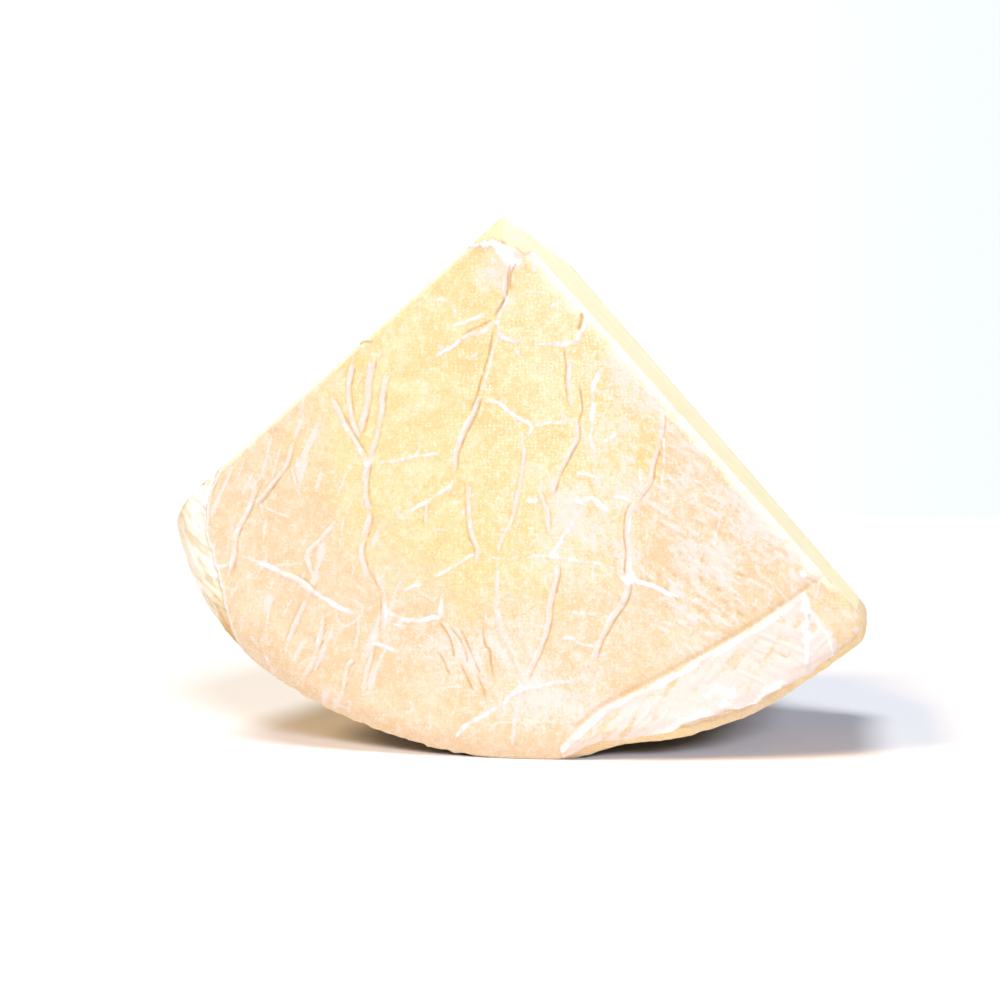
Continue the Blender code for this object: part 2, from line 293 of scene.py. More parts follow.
def gridQuads(rows, columns, first=0):
    # The four corners of each cell of a grid of points.
    index = first + np.arange(rows * columns).reshape(rows, columns)
    return np.stack([index[:-1, :-1], index[:-1, 1:], index[1:, 1:], index[1:, :-1]], -1).reshape(-1, 4)


def ringQuads(ring, other):
    # Cells between two closed rings of points.
    return np.stack([ring, other, np.roll(other, -1), np.roll(ring, -1)], -1)


def makePiece(name, places, quads, triangles=None, looks=None, material=None, weld=0.0):
    # Mesh from arrays, in mm from the tip. It is turned outwards by the sign of its volume.
    if triangles is None:
        triangles = np.zeros((0, 3), int)
    corners = np.concatenate([quads[:, [0, 1, 2]], quads[:, [0, 2, 3]], triangles])
    a, b, c = (places[corners[:, k]] for k in range(3))
    if np.einsum("ij,ij->i", a, np.cross(b, c)).sum() < 0:
        quads, triangles = quads[:, ::-1], triangles[:, ::-1]
    mesh = bpy.data.meshes.new(name)
    mesh.vertices.add(len(places))
    mesh.vertices.foreach_set("co", (places * mm + tip).ravel())
    loops = np.concatenate([quads.ravel(), triangles.ravel()])
    mesh.loops.add(len(loops))
    mesh.loops.foreach_set("vertex_index", loops)
    starts = np.concatenate([np.arange(len(quads)) * 4, len(quads) * 4 + np.arange(len(triangles)) * 3])
    mesh.polygons.add(len(starts))
    mesh.polygons.foreach_set("loop_start", starts)
    mesh.update(calc_edges=True)
    for look, values in (looks or {}).items():
        full = np.zeros(len(places))
        full[:len(values)] = values
        mesh.attributes.new(look, "FLOAT", "POINT").data.foreach_set("value", full)
    if weld:
        bm = bmesh.new()
        bm.from_mesh(mesh)
        bmesh.ops.remove_doubles(bm, verts=bm.verts, dist=weld * mm)
        bmesh.ops.dissolve_degenerate(bm, edges=bm.edges, dist=weld * mm)
        bm.to_mesh(mesh)
        bm.free()
    mesh.validate()
    mesh.shade_smooth()
    mesh.set_sharp_from_angle(angle=math.radians(60))
    mesh.materials.append(material)
    return toScene(name, mesh)


def slab(name, outer, inner, looks, material):
    # Closed sheet from two grids of the same size, joined round their borders.
    rows, columns = outer.shape[:2]
    count = rows * columns
    places = np.concatenate([outer.reshape(-1, 3), inner.reshape(-1, 3)])
    border = loopOf(rows, columns)
    quads = np.concatenate([gridQuads(rows, columns), gridQuads(rows, columns, count)[:, ::-1],
                            ringQuads(border, border + count)])
    looks = {look: np.tile(np.asarray(values).ravel(), 2) for look, values in looks.items()}
    return makePiece(name, places, quads, looks=looks, material=material)


def backed(name, outer, edge, middle, looks, material):
    # Closed sheet from one fine grid: its border goes in to a second ring, and a fan closes it behind.
    rows, columns = outer.shape[:2]
    count = rows * columns
    border = loopOf(rows, columns)
    ring = count + np.arange(len(border))
    places = np.concatenate([outer.reshape(-1, 3), edge.reshape(-1, 3)[border], [middle]])
    quads = np.concatenate([gridQuads(rows, columns), ringQuads(border, ring)])
    fan = np.stack([ring, np.full(len(ring), len(places) - 1), np.roll(ring, -1)], -1)
    source = np.concatenate([np.arange(count), border])
    looks = {look: np.asarray(values).ravel()[source] for look, values in looks.items()}
    return makePiece(name, places, quads, fan, looks, material)


# Finishes

def newMaterial(name, roughness, specular):
    # Principled material with its two constant values set.
    material = bpy.data.materials.new(name)
    material.use_nodes = True
    shader = material.node_tree.nodes["Principled BSDF"]
    shader.inputs["Roughness"].default_value = roughness
    shader.inputs["Specular IOR Level"].default_value = specular
    return material, material.node_tree, shader


def feed(tree, socket, value):
    # Link a socket, or set it to a colour or a number.
    if isinstance(value, bpy.types.NodeSocket):
        tree.links.new(value, socket)
    elif isinstance(value, tuple) and len(value) == 3 and socket.type == "RGBA":
        socket.default_value = (*value, 1.0)
    else:
        socket.default_value = value


def attribute(tree, name):
    # A look that the mesh carries point by point.
    node = tree.nodes.new("ShaderNodeAttribute")
    node.attribute_name = name
    return node.outputs["Fac"]


def objectPlace(tree, scale=(1.0, 1.0, 1.0)):
    # Object coordinates, scaled.
    mapping = tree.nodes.new("ShaderNodeMapping")
    mapping.inputs["Scale"].default_value = scale
    tree.links.new(tree.nodes.new("ShaderNodeTexCoord").outputs["Object"], mapping.inputs["Vector"])
    return mapping.outputs["Vector"]


def noise(tree, place, size, detail=3.0, roughness=0.55, distortion=0.0):
    # Noise whose features are about this many mm across.
    node = tree.nodes.new("ShaderNodeTexNoise")
    feed(tree, node.inputs["Vector"], place)
    node.inputs["Scale"].default_value = 1.0 / (size * mm)
    node.inputs["Detail"].default_value = detail
    node.inputs["Roughness"].default_value = roughness
    node.inputs["Distortion"].default_value = distortion
    return node.outputs["Fac"]


def between(tree, value, start, end, low=0.0, high=1.0):
    # Smooth step from low at the start to high at the end.
    node = tree.nodes.new("ShaderNodeMapRange")
    node.interpolation_type = "SMOOTHSTEP"
    feed(tree, node.inputs["Value"], value)
    for socket, number in zip(("From Min", "From Max", "To Min", "To Max"), (start, end, low, high)):
        node.inputs[socket].default_value = number
    return node.outputs["Result"]


def maths(tree, operation, first, second=0.0, clamp=False):
    # One step of arithmetic on two sockets or numbers.
    node = tree.nodes.new("ShaderNodeMath")
    node.operation = operation
    node.use_clamp = clamp
    feed(tree, node.inputs[0], first)
    feed(tree, node.inputs[1], second)
    return node.outputs[0]


def blendColour(tree, share, first, second):
    # First colour where the share is 0, second where it is 1.
    node = tree.nodes.new("ShaderNodeMix")
    node.data_type = "RGBA"
    feed(tree, node.inputs["Factor"], share)
    feed(tree, node.inputs["A"], first)
    feed(tree, node.inputs["B"], second)
    return node.outputs["Result"]


def shaken(tree, value, texture, amount):
    # A value plus a share of a texture's swing about its middle.
    swing = maths(tree, "SUBTRACT", texture, 0.5)
    return maths(tree, "ADD", value, maths(tree, "MULTIPLY", swing, amount))


def pushed(tree, place, size, amount):
    # Coordinates plus coloured noise of this size times this amount, both in mm.
    drift = tree.nodes.new("ShaderNodeTexNoise")
    drift.inputs["Scale"].default_value = 1.0 / (size * mm)
    feed(tree, drift.inputs["Vector"], place)
    node = tree.nodes.new("ShaderNodeVectorMath")
    node.operation = "MULTIPLY_ADD"
    feed(tree, node.inputs[0], drift.outputs["Color"])
    node.inputs[1].default_value = (amount * mm, amount * mm, amount * mm)
    feed(tree, node.inputs[2], place)
    return node.outputs["Vector"]


def bump(tree, height, strength, distance, normal=None):
    # Bump of a height, its distance in mm, over an earlier normal if there is one.
    node = tree.nodes.new("ShaderNodeBump")
    node.inputs["Strength"].default_value = strength
    node.inputs["Distance"].default_value = distance * mm
    feed(tree, node.inputs["Height"], height)
    if normal is not None:
        feed(tree, node.inputs["Normal"], normal)
    return node.outputs["Normal"]


rindLooks = {
    "gold": (0.875, 0.678, 0.365),
    "peach": (0.808, 0.626, 0.435),
    "deepGold": (0.815, 0.575, 0.262),
    "deepPeach": (0.756, 0.543, 0.325),
    "cream": (0.915, 0.820, 0.665),
    "rosyCream": (0.852, 0.742, 0.615),
    # pale colour of worn cloth and weave dots, and of the painted highlight along the cut edges
    "wearAndHighlight": (0.955, 0.900, 0.740),
    "film": (0.856, 0.742, 0.708),
    "fold": (0.820, 0.738, 0.710),
    "bright": (0.960, 0.945, 0.940),
    # painted shade: ochre for shadow lines and hollows of the rind; the brown stain on the binding cloth uses
    # it too
    "shadeAndStainColour": (0.64, 0.40, 0.17),
    "cloth": (0.93, 0.89, 0.79),
    "clothFold": (0.955, 0.935, 0.885),
    # painted shade on the white cloth, in the hollows of its crinkles
    "clothShadeColour": (0.78, 0.68, 0.50),
    "roughness": 0.62,
    "specular": 0.22,
    # mm, from here on
    "threadPitch": 1.02,
    "patchSize": 7.0,
    "blotchSize": 1.7,
    "speckSize": 0.65,
}


def rindMaterial():
    # Golden rind seen through pressed cloth: mottling, a milky film, weave, pale folds and painted ochre
    # shade.
    looks = rindLooks
    material, tree, shader = newMaterial("clothRind", looks["roughness"], looks["specular"])
    place = objectPlace(tree)
    names = ("pale", "shade", "film", "peach", "white", "weave", "wearAndHighlight")
    pale, shade, film, peach, white, weave, wearAndHighlight = (attribute(tree, name) for name in names)
    wide = noise(tree, place, 9.0, 2.0)
    patch = noise(tree, place, looks["patchSize"], 4.0, 0.6, 0.8)
    blotch = noise(tree, place, looks["blotchSize"], 4.0, 0.65, 0.5)
    speck = noise(tree, place, looks["speckSize"], 3.0, 0.6, 0.3)

    # gold in the middle to peach outside, each with its deep and light mottling
    peachShare = between(tree, shaken(tree, peach, wide, 1.1), 0.12, 0.92)
    base = blendColour(tree, peachShare, looks["gold"], looks["peach"])
    deep = blendColour(tree, peachShare, looks["deepGold"], looks["deepPeach"])
    light = blendColour(tree, peachShare, looks["cream"], looks["rosyCream"])
    mottling = (
        # texture, where it starts and ends, the most it covers, colour
        (patch, 0.52, 0.38, 0.50, deep),
        (blotch, 0.48, 0.36, 0.65, deep),
        (patch, 0.52, 0.66, 0.30, light),
        (blotch, 0.53, 0.66, 0.60, light),
        (speck, 0.43, 0.30, 0.55, deep),
        (speck, 0.56, 0.68, 0.55, light),
    )
    for texture, start, end, most, colour in mottling:
        base = blendColour(tree, between(tree, texture, start, end, 0.0, most), base, colour)
    milky = film
    for texture, amount in ((patch, 0.5), (blotch, 1.0), (speck, 1.0)):
        milky = shaken(tree, milky, texture, amount)
    base = blendColour(tree, between(tree, milky, 0.25, 0.90, 0.0, 0.92), base, looks["film"])

    # pale dots of the weave, where two waves of thread meet and the cloth is worn
    wave = 2 * math.pi / (looks["threadPitch"] * mm)
    separate = tree.nodes.new("ShaderNodeSeparateXYZ")
    feed(tree, separate.inputs[0], pushed(tree, place, 4.0, 1.8))
    across = maths(tree, "SINE", maths(tree, "MULTIPLY", separate.outputs["X"], wave * 0.92))
    down = maths(tree, "SINE", maths(tree, "MULTIPLY", separate.outputs["Z"], wave * 1.16))
    down = maths(tree, "MULTIPLY", down, 0.7)
    threads = maths(tree, "MULTIPLY", maths(tree, "ADD", across, 1.0), maths(tree, "ADD", down, 1.0))
    worn = between(tree, shaken(tree, noise(tree, place, 2.4, 3.0), speck, 1.1), 0.42, 0.66)
    worn = maths(tree, "MULTIPLY", worn, weave)
    dots = maths(tree, "MULTIPLY", between(tree, threads, 1.1, 3.0), worn, clamp=True)
    base = blendColour(tree, maths(tree, "MULTIPLY", dots, 0.8), base, looks["wearAndHighlight"])
    # paler where worn, and along the cut edges a painted highlight
    wearAndHighlightShare = between(tree, shaken(tree, wearAndHighlight, speck, 0.5), 0.15, 0.85)
    base = blendColour(tree, wearAndHighlightShare, base, looks["wearAndHighlight"])

    # white cloth of the left end, then folds with bright crests that are partly painted highlight, then
    # painted shade
    base = blendColour(tree, white, base, looks["cloth"])
    ragged = shaken(tree, pale, speck, 0.55)
    fold = blendColour(tree, white, looks["fold"], looks["clothFold"])
    base = blendColour(tree, between(tree, ragged, 0.25, 0.55, 0.0, 0.9), base, fold)
    # brightest where paleness is highest: white threads, and painted highlights on crests and band edges
    base = blendColour(tree, between(tree, ragged, 0.62, 0.88), base, looks["bright"])
    # painted shade: ochre on the rind, beige-grey on the white cloth, where the shade look is high
    shadeAndStainColour = blendColour(tree, white, looks["shadeAndStainColour"], looks["clothShadeColour"])
    dark = between(tree, shaken(tree, shade, speck, 0.35), 0.22, 0.95, 0.0, 0.8)
    base = blendColour(tree, dark, base, shadeAndStainColour)
    feed(tree, shader.inputs["Base Color"], base)

    fine = bump(tree, speck, 0.60, 0.20)
    fine = bump(tree, threads, 0.20, 0.05, fine)
    feed(tree, shader.inputs["Normal"], bump(tree, blotch, 0.45, 0.35, fine))
    return material


pasteLooks = {
    "paste": (0.975, 0.880, 0.565),
    "pale": (0.980, 0.910, 0.650),
    "golden": (0.90, 0.740, 0.370),
    "roughness": 0.48,
    "specular": 0.35,
    "curdSize": 7.0,  # mm
}


def pasteMaterial():
    # Cut cheese: even pale yellow, faint curds, drag lines of the wire, tiny holes and a golden skin.
    looks = pasteLooks
    material, tree, shader = newMaterial("cutPaste", looks["roughness"], looks["specular"])
    place = objectPlace(tree)
    curds = tree.nodes.new("ShaderNodeTexVoronoi")
    curds.feature = "DISTANCE_TO_EDGE"
    curds.inputs["Scale"].default_value = 1.0 / (looks["curdSize"] * mm)
    feed(tree, curds.inputs["Vector"], pushed(tree, place, 6.0, 6.0))
    edges = curds.outputs["Distance"]
    wide = noise(tree, place, 16.0, 3.0)
    fine = noise(tree, place, 1.1, 4.0, 0.65)
    base = blendColour(tree, between(tree, wide, 0.35, 0.65), looks["paste"], looks["pale"])
    base = blendColour(tree, between(tree, edges, 0.05, 0.0, 0.0, 0.30), base, looks["pale"])
    base = blendColour(tree, between(tree, fine, 0.34, 0.22, 0.0, 0.4), base, looks["golden"])
    skin = shaken(tree, attribute(tree, "golden"), fine, 0.9)
    base = blendColour(tree, between(tree, skin, 0.2, 1.0, 0.0, 0.8), base, looks["golden"])
    feed(tree, shader.inputs["Base Color"], base)
    dragged = noise(tree, objectPlace(tree, (1.0, 0.06, 1.0)), 1.6, 3.0)
    normal = bump(tree, fine, 0.30, 0.15)
    normal = bump(tree, dragged, 0.25, 0.25, normal)
    feed(tree, shader.inputs["Normal"], bump(tree, edges, 0.15, 0.8, normal))
    return material


# Folds of the front cloth
# kind: rise in mm, half width in mm, paleness, darkness of the shadow line, how ragged
foldKinds = {
    "thread": (0.22, 0.34, 0.92, 0.22, 0.55),
    "band": (0.42, 0.62, 0.58, 0.80, 0.28),
    "soft": (0.38, 0.72, 0.56, 0.72, 0.28),
    "gap": (-0.40, 0.50, 0.00, 1.00, 0.30),
}

# kind, side of the shadow line (1 left of the run, -1 right, 0 none), scale, then points x, z in mm
frontFolds = (
    ("gap", 0, 0.8, (3.9, -11.8), (2.9, -13.6), (2.2, -15.8), (1.8, -19.2)),
    ("band", 1, 0.9, (1.5, -11.6), (0.7, -14.8), (0.8, -18.4), (0.3, -21.2)),
    ("gap", 0, 1.0, (0.5, -21.5), (-0.8, -23.8), (-2.4, -26.4)),
    ("thread", 0, 1.0, (1.6, -21.0), (0.3, -23.8), (-1.3, -26.9)),
    ("thread", 1, 1.3, (-1.6, -27.4), (-6.1, -29.9), (-10.6, -31.4), (-13.5, -33.7), (-19.4, -37.0)),
    ("gap", 0, 0.7, (-2.4, -26.9), (-6.9, -28.9), (-10.6, -30.6)),
    ("gap", 0, 0.6, (-2.4, -28.9), (-3.4, -33.9), (-4.8, -39.3), (-6.9, -46.3), (-8.2, -50.4)),
    ("thread", 0, 0.6, (-1.1, -30.8), (-2.4, -34.6), (-3.7, -39.8), (-6.1, -46.8)),
    ("band", 1, 1.1, (-6.3, -46.3), (-7.7, -50.7), (-10.3, -56.1), (-12.2, -61.3), (-13.0, -67.5)),
    ("thread", -1, 1.0, (-13.2, -68.3), (-14.8, -70.4), (-17.2, -71.7), (-19.4, -73.5), (-25.5, -76.6)),
    ("thread", -1, 1.2, (-1.3, -28.7), (-0.3, -31.3), (3.7, -32.4), (11.5, -33.3), (18.3, -32.9),
     (21.4, -28.0), (20.9, -25.5)),
    ("gap", 0, 1.3, (20.9, -25.2), (20.4, -27.8), (19.6, -29.8)),
    ("band", -1, 0.8, (17.0, -34.1), (17.0, -38.3), (17.0, -42.6), (17.5, -49.8)),
    ("gap", 0, 0.7, (19.9, -43.7), (20.4, -47.8), (20.4, -51.1), (19.6, -54.2)),
    ("band", 1, 0.9, (19.6, -52.9), (19.1, -57.6), (17.3, -61.1), (13.9, -68.9), (12.9, -72.5)),
    ("thread", 0, 1.3, (26.1, -39.6), (24.6, -41.9), (23.5, -45.3), (23.3, -53.5), (22.7, -58.9),
     (24.8, -63.2)),
    ("thread", 1, 1.0, (-6.1, -47.6), (-1.6, -48.4), (1.3, -50.5), (7.1, -54.1), (6.8, -56.2), (3.2, -59.3)),
    ("thread", 0, 1.0, (7.4, -54.7), (10.5, -53.9), (13.6, -53.4), (17.5, -53.7)),
    ("soft", 0, 0.7, (5.5, -58.0), (5.3, -63.9), (3.7, -72.7), (2.6, -77.9), (-0.8, -84.6), (-1.3, -87.7)),
    ("band", 1, 1.0, (41.3, -50.8), (41.3, -55.6), (39.2, -64.1), (38.0, -69.2), (34.4, -74.5)),
    ("thread", 0, 0.8, (41.8, -55.6), (41.8, -64.1), (40.8, -74.0)),
    ("band", -1, 1.2, (34.6, -74.3), (33.1, -77.3), (32.6, -81.2), (32.8, -88.8), (32.6, -93.2)),
    ("thread", 0, 0.6, (42.3, -67.9), (46.7, -68.4), (51.0, -68.7)),
    ("thread", 0, 0.6, (40.8, -74.0), (45.4, -74.0)),
    ("thread", 0, 0.8, (28.7, -72.5), (31.3, -73.2), (33.8, -73.7)),
    ("thread", 0, 1.9, (15.5, -74.3), (20.1, -74.0), (23.3, -73.2), (25.3, -74.8), (27.7, -76.6)),
    ("thread", 0, 1.0, (6.3, -74.0), (9.2, -73.5)),
    ("band", 1, 1.2, (32.6, -94.0), (31.8, -98.3), (27.9, -104.8), (24.8, -111.2), (23.3, -115.6)),
    ("thread", 1, 1.3, (33.1, -93.7), (35.6, -94.4), (39.5, -95.7), (45.9, -98.7)),
    ("thread", 1, 1.2, (32.3, -92.7), (27.9, -90.7), (24.6, -89.7), (15.7, -88.9), (13.1, -87.7)),
    ("thread", 0, 1.4, (12.9, -87.4), (15.7, -83.3), (18.8, -78.6), (19.4, -76.1)),
    ("thread", 0, 0.7, (12.6, -87.7), (7.9, -88.2), (-1.3, -88.3), (-6.9, -86.7)),
    ("band", 0, 1.1, (-1.3, -88.5), (-1.3, -96.8), (-1.6, -102.0), (-0.3, -106.4), (0.0, -110.2)),
    ("soft", 1, 0.9, (9.2, -71.4), (10.5, -74.3), (11.5, -76.8), (11.8, -82.0)),
    ("band", 1, 1.2, (14.2, -88.9), (13.9, -93.3), (12.3, -101.1), (11.8, -104.9), (9.2, -113.0),
     (5.3, -121.3)),
    ("thread", 0, 1.0, (18.1, -102.3), (21.4, -102.8), (25.3, -102.5)),
    ("thread", 0, 1.0, (14.9, -109.0), (18.1, -109.2), (20.1, -110.2), (23.3, -110.7), (25.6, -109.4)),
    ("band", 0, 1.0, (5.0, -121.8), (3.9, -126.5), (3.2, -130.9), (2.4, -137.4)),
    ("thread", 1, 1.3, (4.5, -122.3), (1.3, -125.2), (-6.1, -130.0), (-9.3, -131.9), (-12.7, -135.4)),
    ("thread", 0, 1.0, (4.7, -122.3), (8.4, -121.7), (12.3, -120.6), (18.8, -120.0)),
    ("band", 1, 1.1, (-45.8, -46.6), (-42.8, -52.2), (-40.4, -56.4), (-36.0, -63.3)),
    ("soft", 1, 1.1, (-30.6, -39.2), (-31.6, -44.6), (-32.3, -49.6), (-33.4, -56.9), (-35.4, -62.6)),
    ("band", 1, 1.3, (-35.8, -63.0), (-36.3, -69.6), (-36.3, -72.7), (-35.2, -75.9)),
    ("band", 1, 1.2, (-35.2, -75.9), (-35.8, -80.0), (-37.7, -86.6), (-36.8, -91.3), (-35.5, -95.0)),
    ("band", -1, 1.0, (-34.1, -91.0), (-32.0, -97.8), (-31.7, -102.3), (-32.3, -107.5)),
    ("soft", 1, 1.3, (-34.6, -35.6), (-35.6, -42.0), (-36.6, -49.9), (-38.2, -57.0)),
    ("soft", 1, 1.0, (-39.9, -35.8), (-41.3, -44.6), (-40.3, -51.6), (-38.0, -57.8)),
    ("thread", 0, 1.0, (-34.1, -63.0), (-30.6, -63.6), (-24.2, -62.3), (-16.7, -61.5)),
    ("soft", -1, 0.9, (-9.5, -66.2), (-9.0, -76.9), (-8.5, -82.1), (-6.9, -86.2), (-7.1, -91.7)),
    ("soft", 1, 0.9, (-56.4, -57.1), (-58.1, -63.7), (-62.8, -70.3), (-67.5, -74.8)),
    ("band", 1, 1.0, (-65.8, -69.0), (-68.8, -76.1), (-71.9, -82.3), (-72.7, -88.6), (-74.1, -93.4)),
    ("soft", 0, 0.5, (-57.3, -63.7), (-55.1, -70.1), (-54.0, -72.7)),
    ("thread", 0, 0.6, (-65.0, -75.3), (-60.8, -76.9), (-56.7, -78.0)),
    ("thread", 1, 1.2, (-71.6, -87.8), (-68.3, -89.1), (-61.4, -91.7), (-57.3, -93.8)),
    ("band", 1, 1.6, (-59.2, -92.8), (-55.3, -94.6), (-52.6, -96.2), (-50.2, -98.0)),
    ("thread", 1, 1.3, (-51.2, -97.2), (-48.5, -99.3), (-42.8, -102.4), (-39.5, -103.1)),
    ("thread", 1, 1.4, (-30.9, -102.8), (-25.5, -105.1), (-19.4, -104.2), (-16.7, -103.2), (-16.2, -98.2)),
    ("thread", 1, 1.2, (-37.1, -112.0), (-34.1, -111.2), (-31.4, -112.0), (-28.5, -113.2)),
    ("soft", -1, 1.0, (-52.6, -99.1), (-54.5, -103.0), (-57.8, -111.3), (-58.1, -114.4)),
    ("soft", 1, 1.0, (-47.7, -103.0), (-49.6, -111.1), (-51.2, -116.4), (-53.7, -120.4)),
    ("soft", 0, 0.8, (-45.5, -106.4), (-47.4, -111.6), (-51.2, -119.6)),
    ("soft", 0, 0.8, (-38.7, -103.7), (-38.7, -107.6), (-39.3, -112.8)),
    ("soft", 1, 0.9, (-39.8, -115.0), (-42.0, -117.6), (-43.1, -123.4)),
    ("soft", 1, 0.8, (-34.9, -112.8), (-36.6, -118.6), (-37.7, -124.6)),
    ("soft", 0, 0.9, (-44.4, -79.0), (-48.2, -83.5), (-52.3, -87.7), (-51.8, -90.9), (-51.0, -93.8)),
    ("thread", 0, 0.9, (-6.1, -86.5), (-10.8, -89.6), (-15.9, -92.2), (-18.8, -93.8)),
    ("thread", 0, 0.8, (-21.8, -95.7), (-24.2, -96.2), (-26.6, -97.5)),
    ("soft", 0, 0.5, (-19.9, -74.0), (-20.2, -76.9), (-20.2, -79.7)),
    ("thread", 0, 0.7, (7.1, -20.1), (9.2, -19.8), (11.0, -20.1)),
    ("thread", 0, 0.6, (12.3, -24.0), (14.9, -22.5), (20.4, -22.6)),
    ("thread", 0, 1.1, (25.9, -58.6), (27.9, -57.6), (30.2, -55.8)),
    ("thread", 0, 0.8, (18.8, -66.6), (22.2, -67.1), (25.9, -68.1)),
    ("thread", 0, 0.9, (-13.5, -28.5), (-10.6, -27.3), (-4.5, -25.3)),
    ("gap", 0, 0.6, (-17.5, -104.7), (-14.8, -108.1), (-13.2, -111.7), (-13.0, -115.3)),
    ("gap", 0, 0.6, (-14.0, -106.3), (-11.6, -109.4), (-10.0, -112.4), (-9.5, -115.8)),
    ("gap", 0, 0.5, (-11.6, -106.8), (-9.5, -110.4), (-7.9, -113.7), (-5.3, -119.4)),
    ("gap", 0, 0.6, (-5.3, -106.4), (-4.8, -111.1), (-3.4, -113.1), (-2.4, -120.1)),
    ("gap", 0, 0.5, (-11.4, -115.8), (-9.5, -119.5), (-7.7, -122.8)),
    ("gap", 0, 0.5, (-17.5, -112.6), (-15.4, -116.2), (-13.5, -119.5)),
    ("gap", 0, 0.5, (-7.1, -118.1), (-5.5, -121.7), (-4.5, -125.3)),
    ("gap", 0, 0.5, (-38.7, -32.8), (-37.1, -32.1), (-34.9, -32.4)),
)


def addFold(x, z, lift, pale, shade, kind, side, scale, points, seed):
    # Add one fold to the relief and the looks of a face.
    # The rise is a rounded ridge of the distance to a smooth line, thin at its ends. A painted shadow line
    # runs beside it, and on a band a painted highlight runs along the other side as a bright edge.
    # Noise along the line makes it ragged.
    rise, halfWidth, paleness, darkness, ragged = foldKinds[kind]
    width = halfWidth * scale
    line = curveThrough(points)
    pitch = 1.7 if kind == "thread" else 3.6
    drift = [blur(line[:, 0], line[:, 1], pitch, seed), blur(line[:, 0], line[:, 1], pitch, seed + 1)]
    line = line + 0.26 * np.stack(drift, 1)
    margin = 3.0 + 2 * width
    near = ((x > line[:, 0].min() - margin) & (x < line[:, 0].max() + margin)
            & (z > line[:, 1].min() - margin) & (z < line[:, 1].max() + margin))
    px, pz = x[near], z[near]
    if not len(px):
        return
    nearest, away, left = nearestOn(line, runsOf(line), px, pz)
    off = np.sign(left) * away
    share = nearest / (len(line) - 1)
    rough = 1 + ragged * blur(px, pz, 1.1, seed + 2) + 0.6 * ragged * blur(px, pz, 2.9, seed + 3)
    rough = rough * (1 + 0.35 * ragged * blur(px, pz, 8.0, seed + 6))
    ends = np.sqrt(np.clip(np.minimum(share, 1 - share) * 7 + 0.12, 0, 1))
    width = width * (0.7 + 0.3 * ends) * (1 + 0.6 * ragged * blur(px, pz, 3.7, seed + 4))
    ridge = np.clip(1 - (off / (width * 1.3)) ** 2, 0, 1) ** 1.5
    lift[near] += rise * min(scale, 1.3) * ridge * ends * rough
    # painted shadow line beside the ridge; a soft fold has it on both sides
    beside = bell(off, side * (width + 0.25), 0.38) * abs(side) * ends * rough
    if kind == "soft":
        beside = np.maximum(beside, 0.7 * bell(away, width + 0.25, 0.36) * ends * rough)
    lift[near] += (0.16 if kind == "band" else 0.06) * bell(away, 0, 2.2) * ends - 0.18 * beside
    if kind == "gap":
        # painted shadow along the middle of a gap
        dark = darkness * bell(off, 0, 0.42 * max(1, scale)) * ends * rough
        shade[near] = np.maximum(shade[near], dark)
        return
    if kind == "thread":
        core = np.clip(1.15 - away / (width * 2.1), 0, 1)
    else:
        core = np.clip((width + 0.5 - away) / 0.8, 0, 1)
        # painted highlight along the band's other side
        edge = bell(off, -side * width * 0.8, 0.36) * (0.55 + 0.9 * blur(px, pz, 4.5, seed + 5))
        core = np.maximum(core, 1.5 * edge * (kind == "band"))
    pale[near] = np.maximum(pale[near], paleness * core * ends * rough)
    shade[near] = np.maximum(shade[near], darkness * beside)


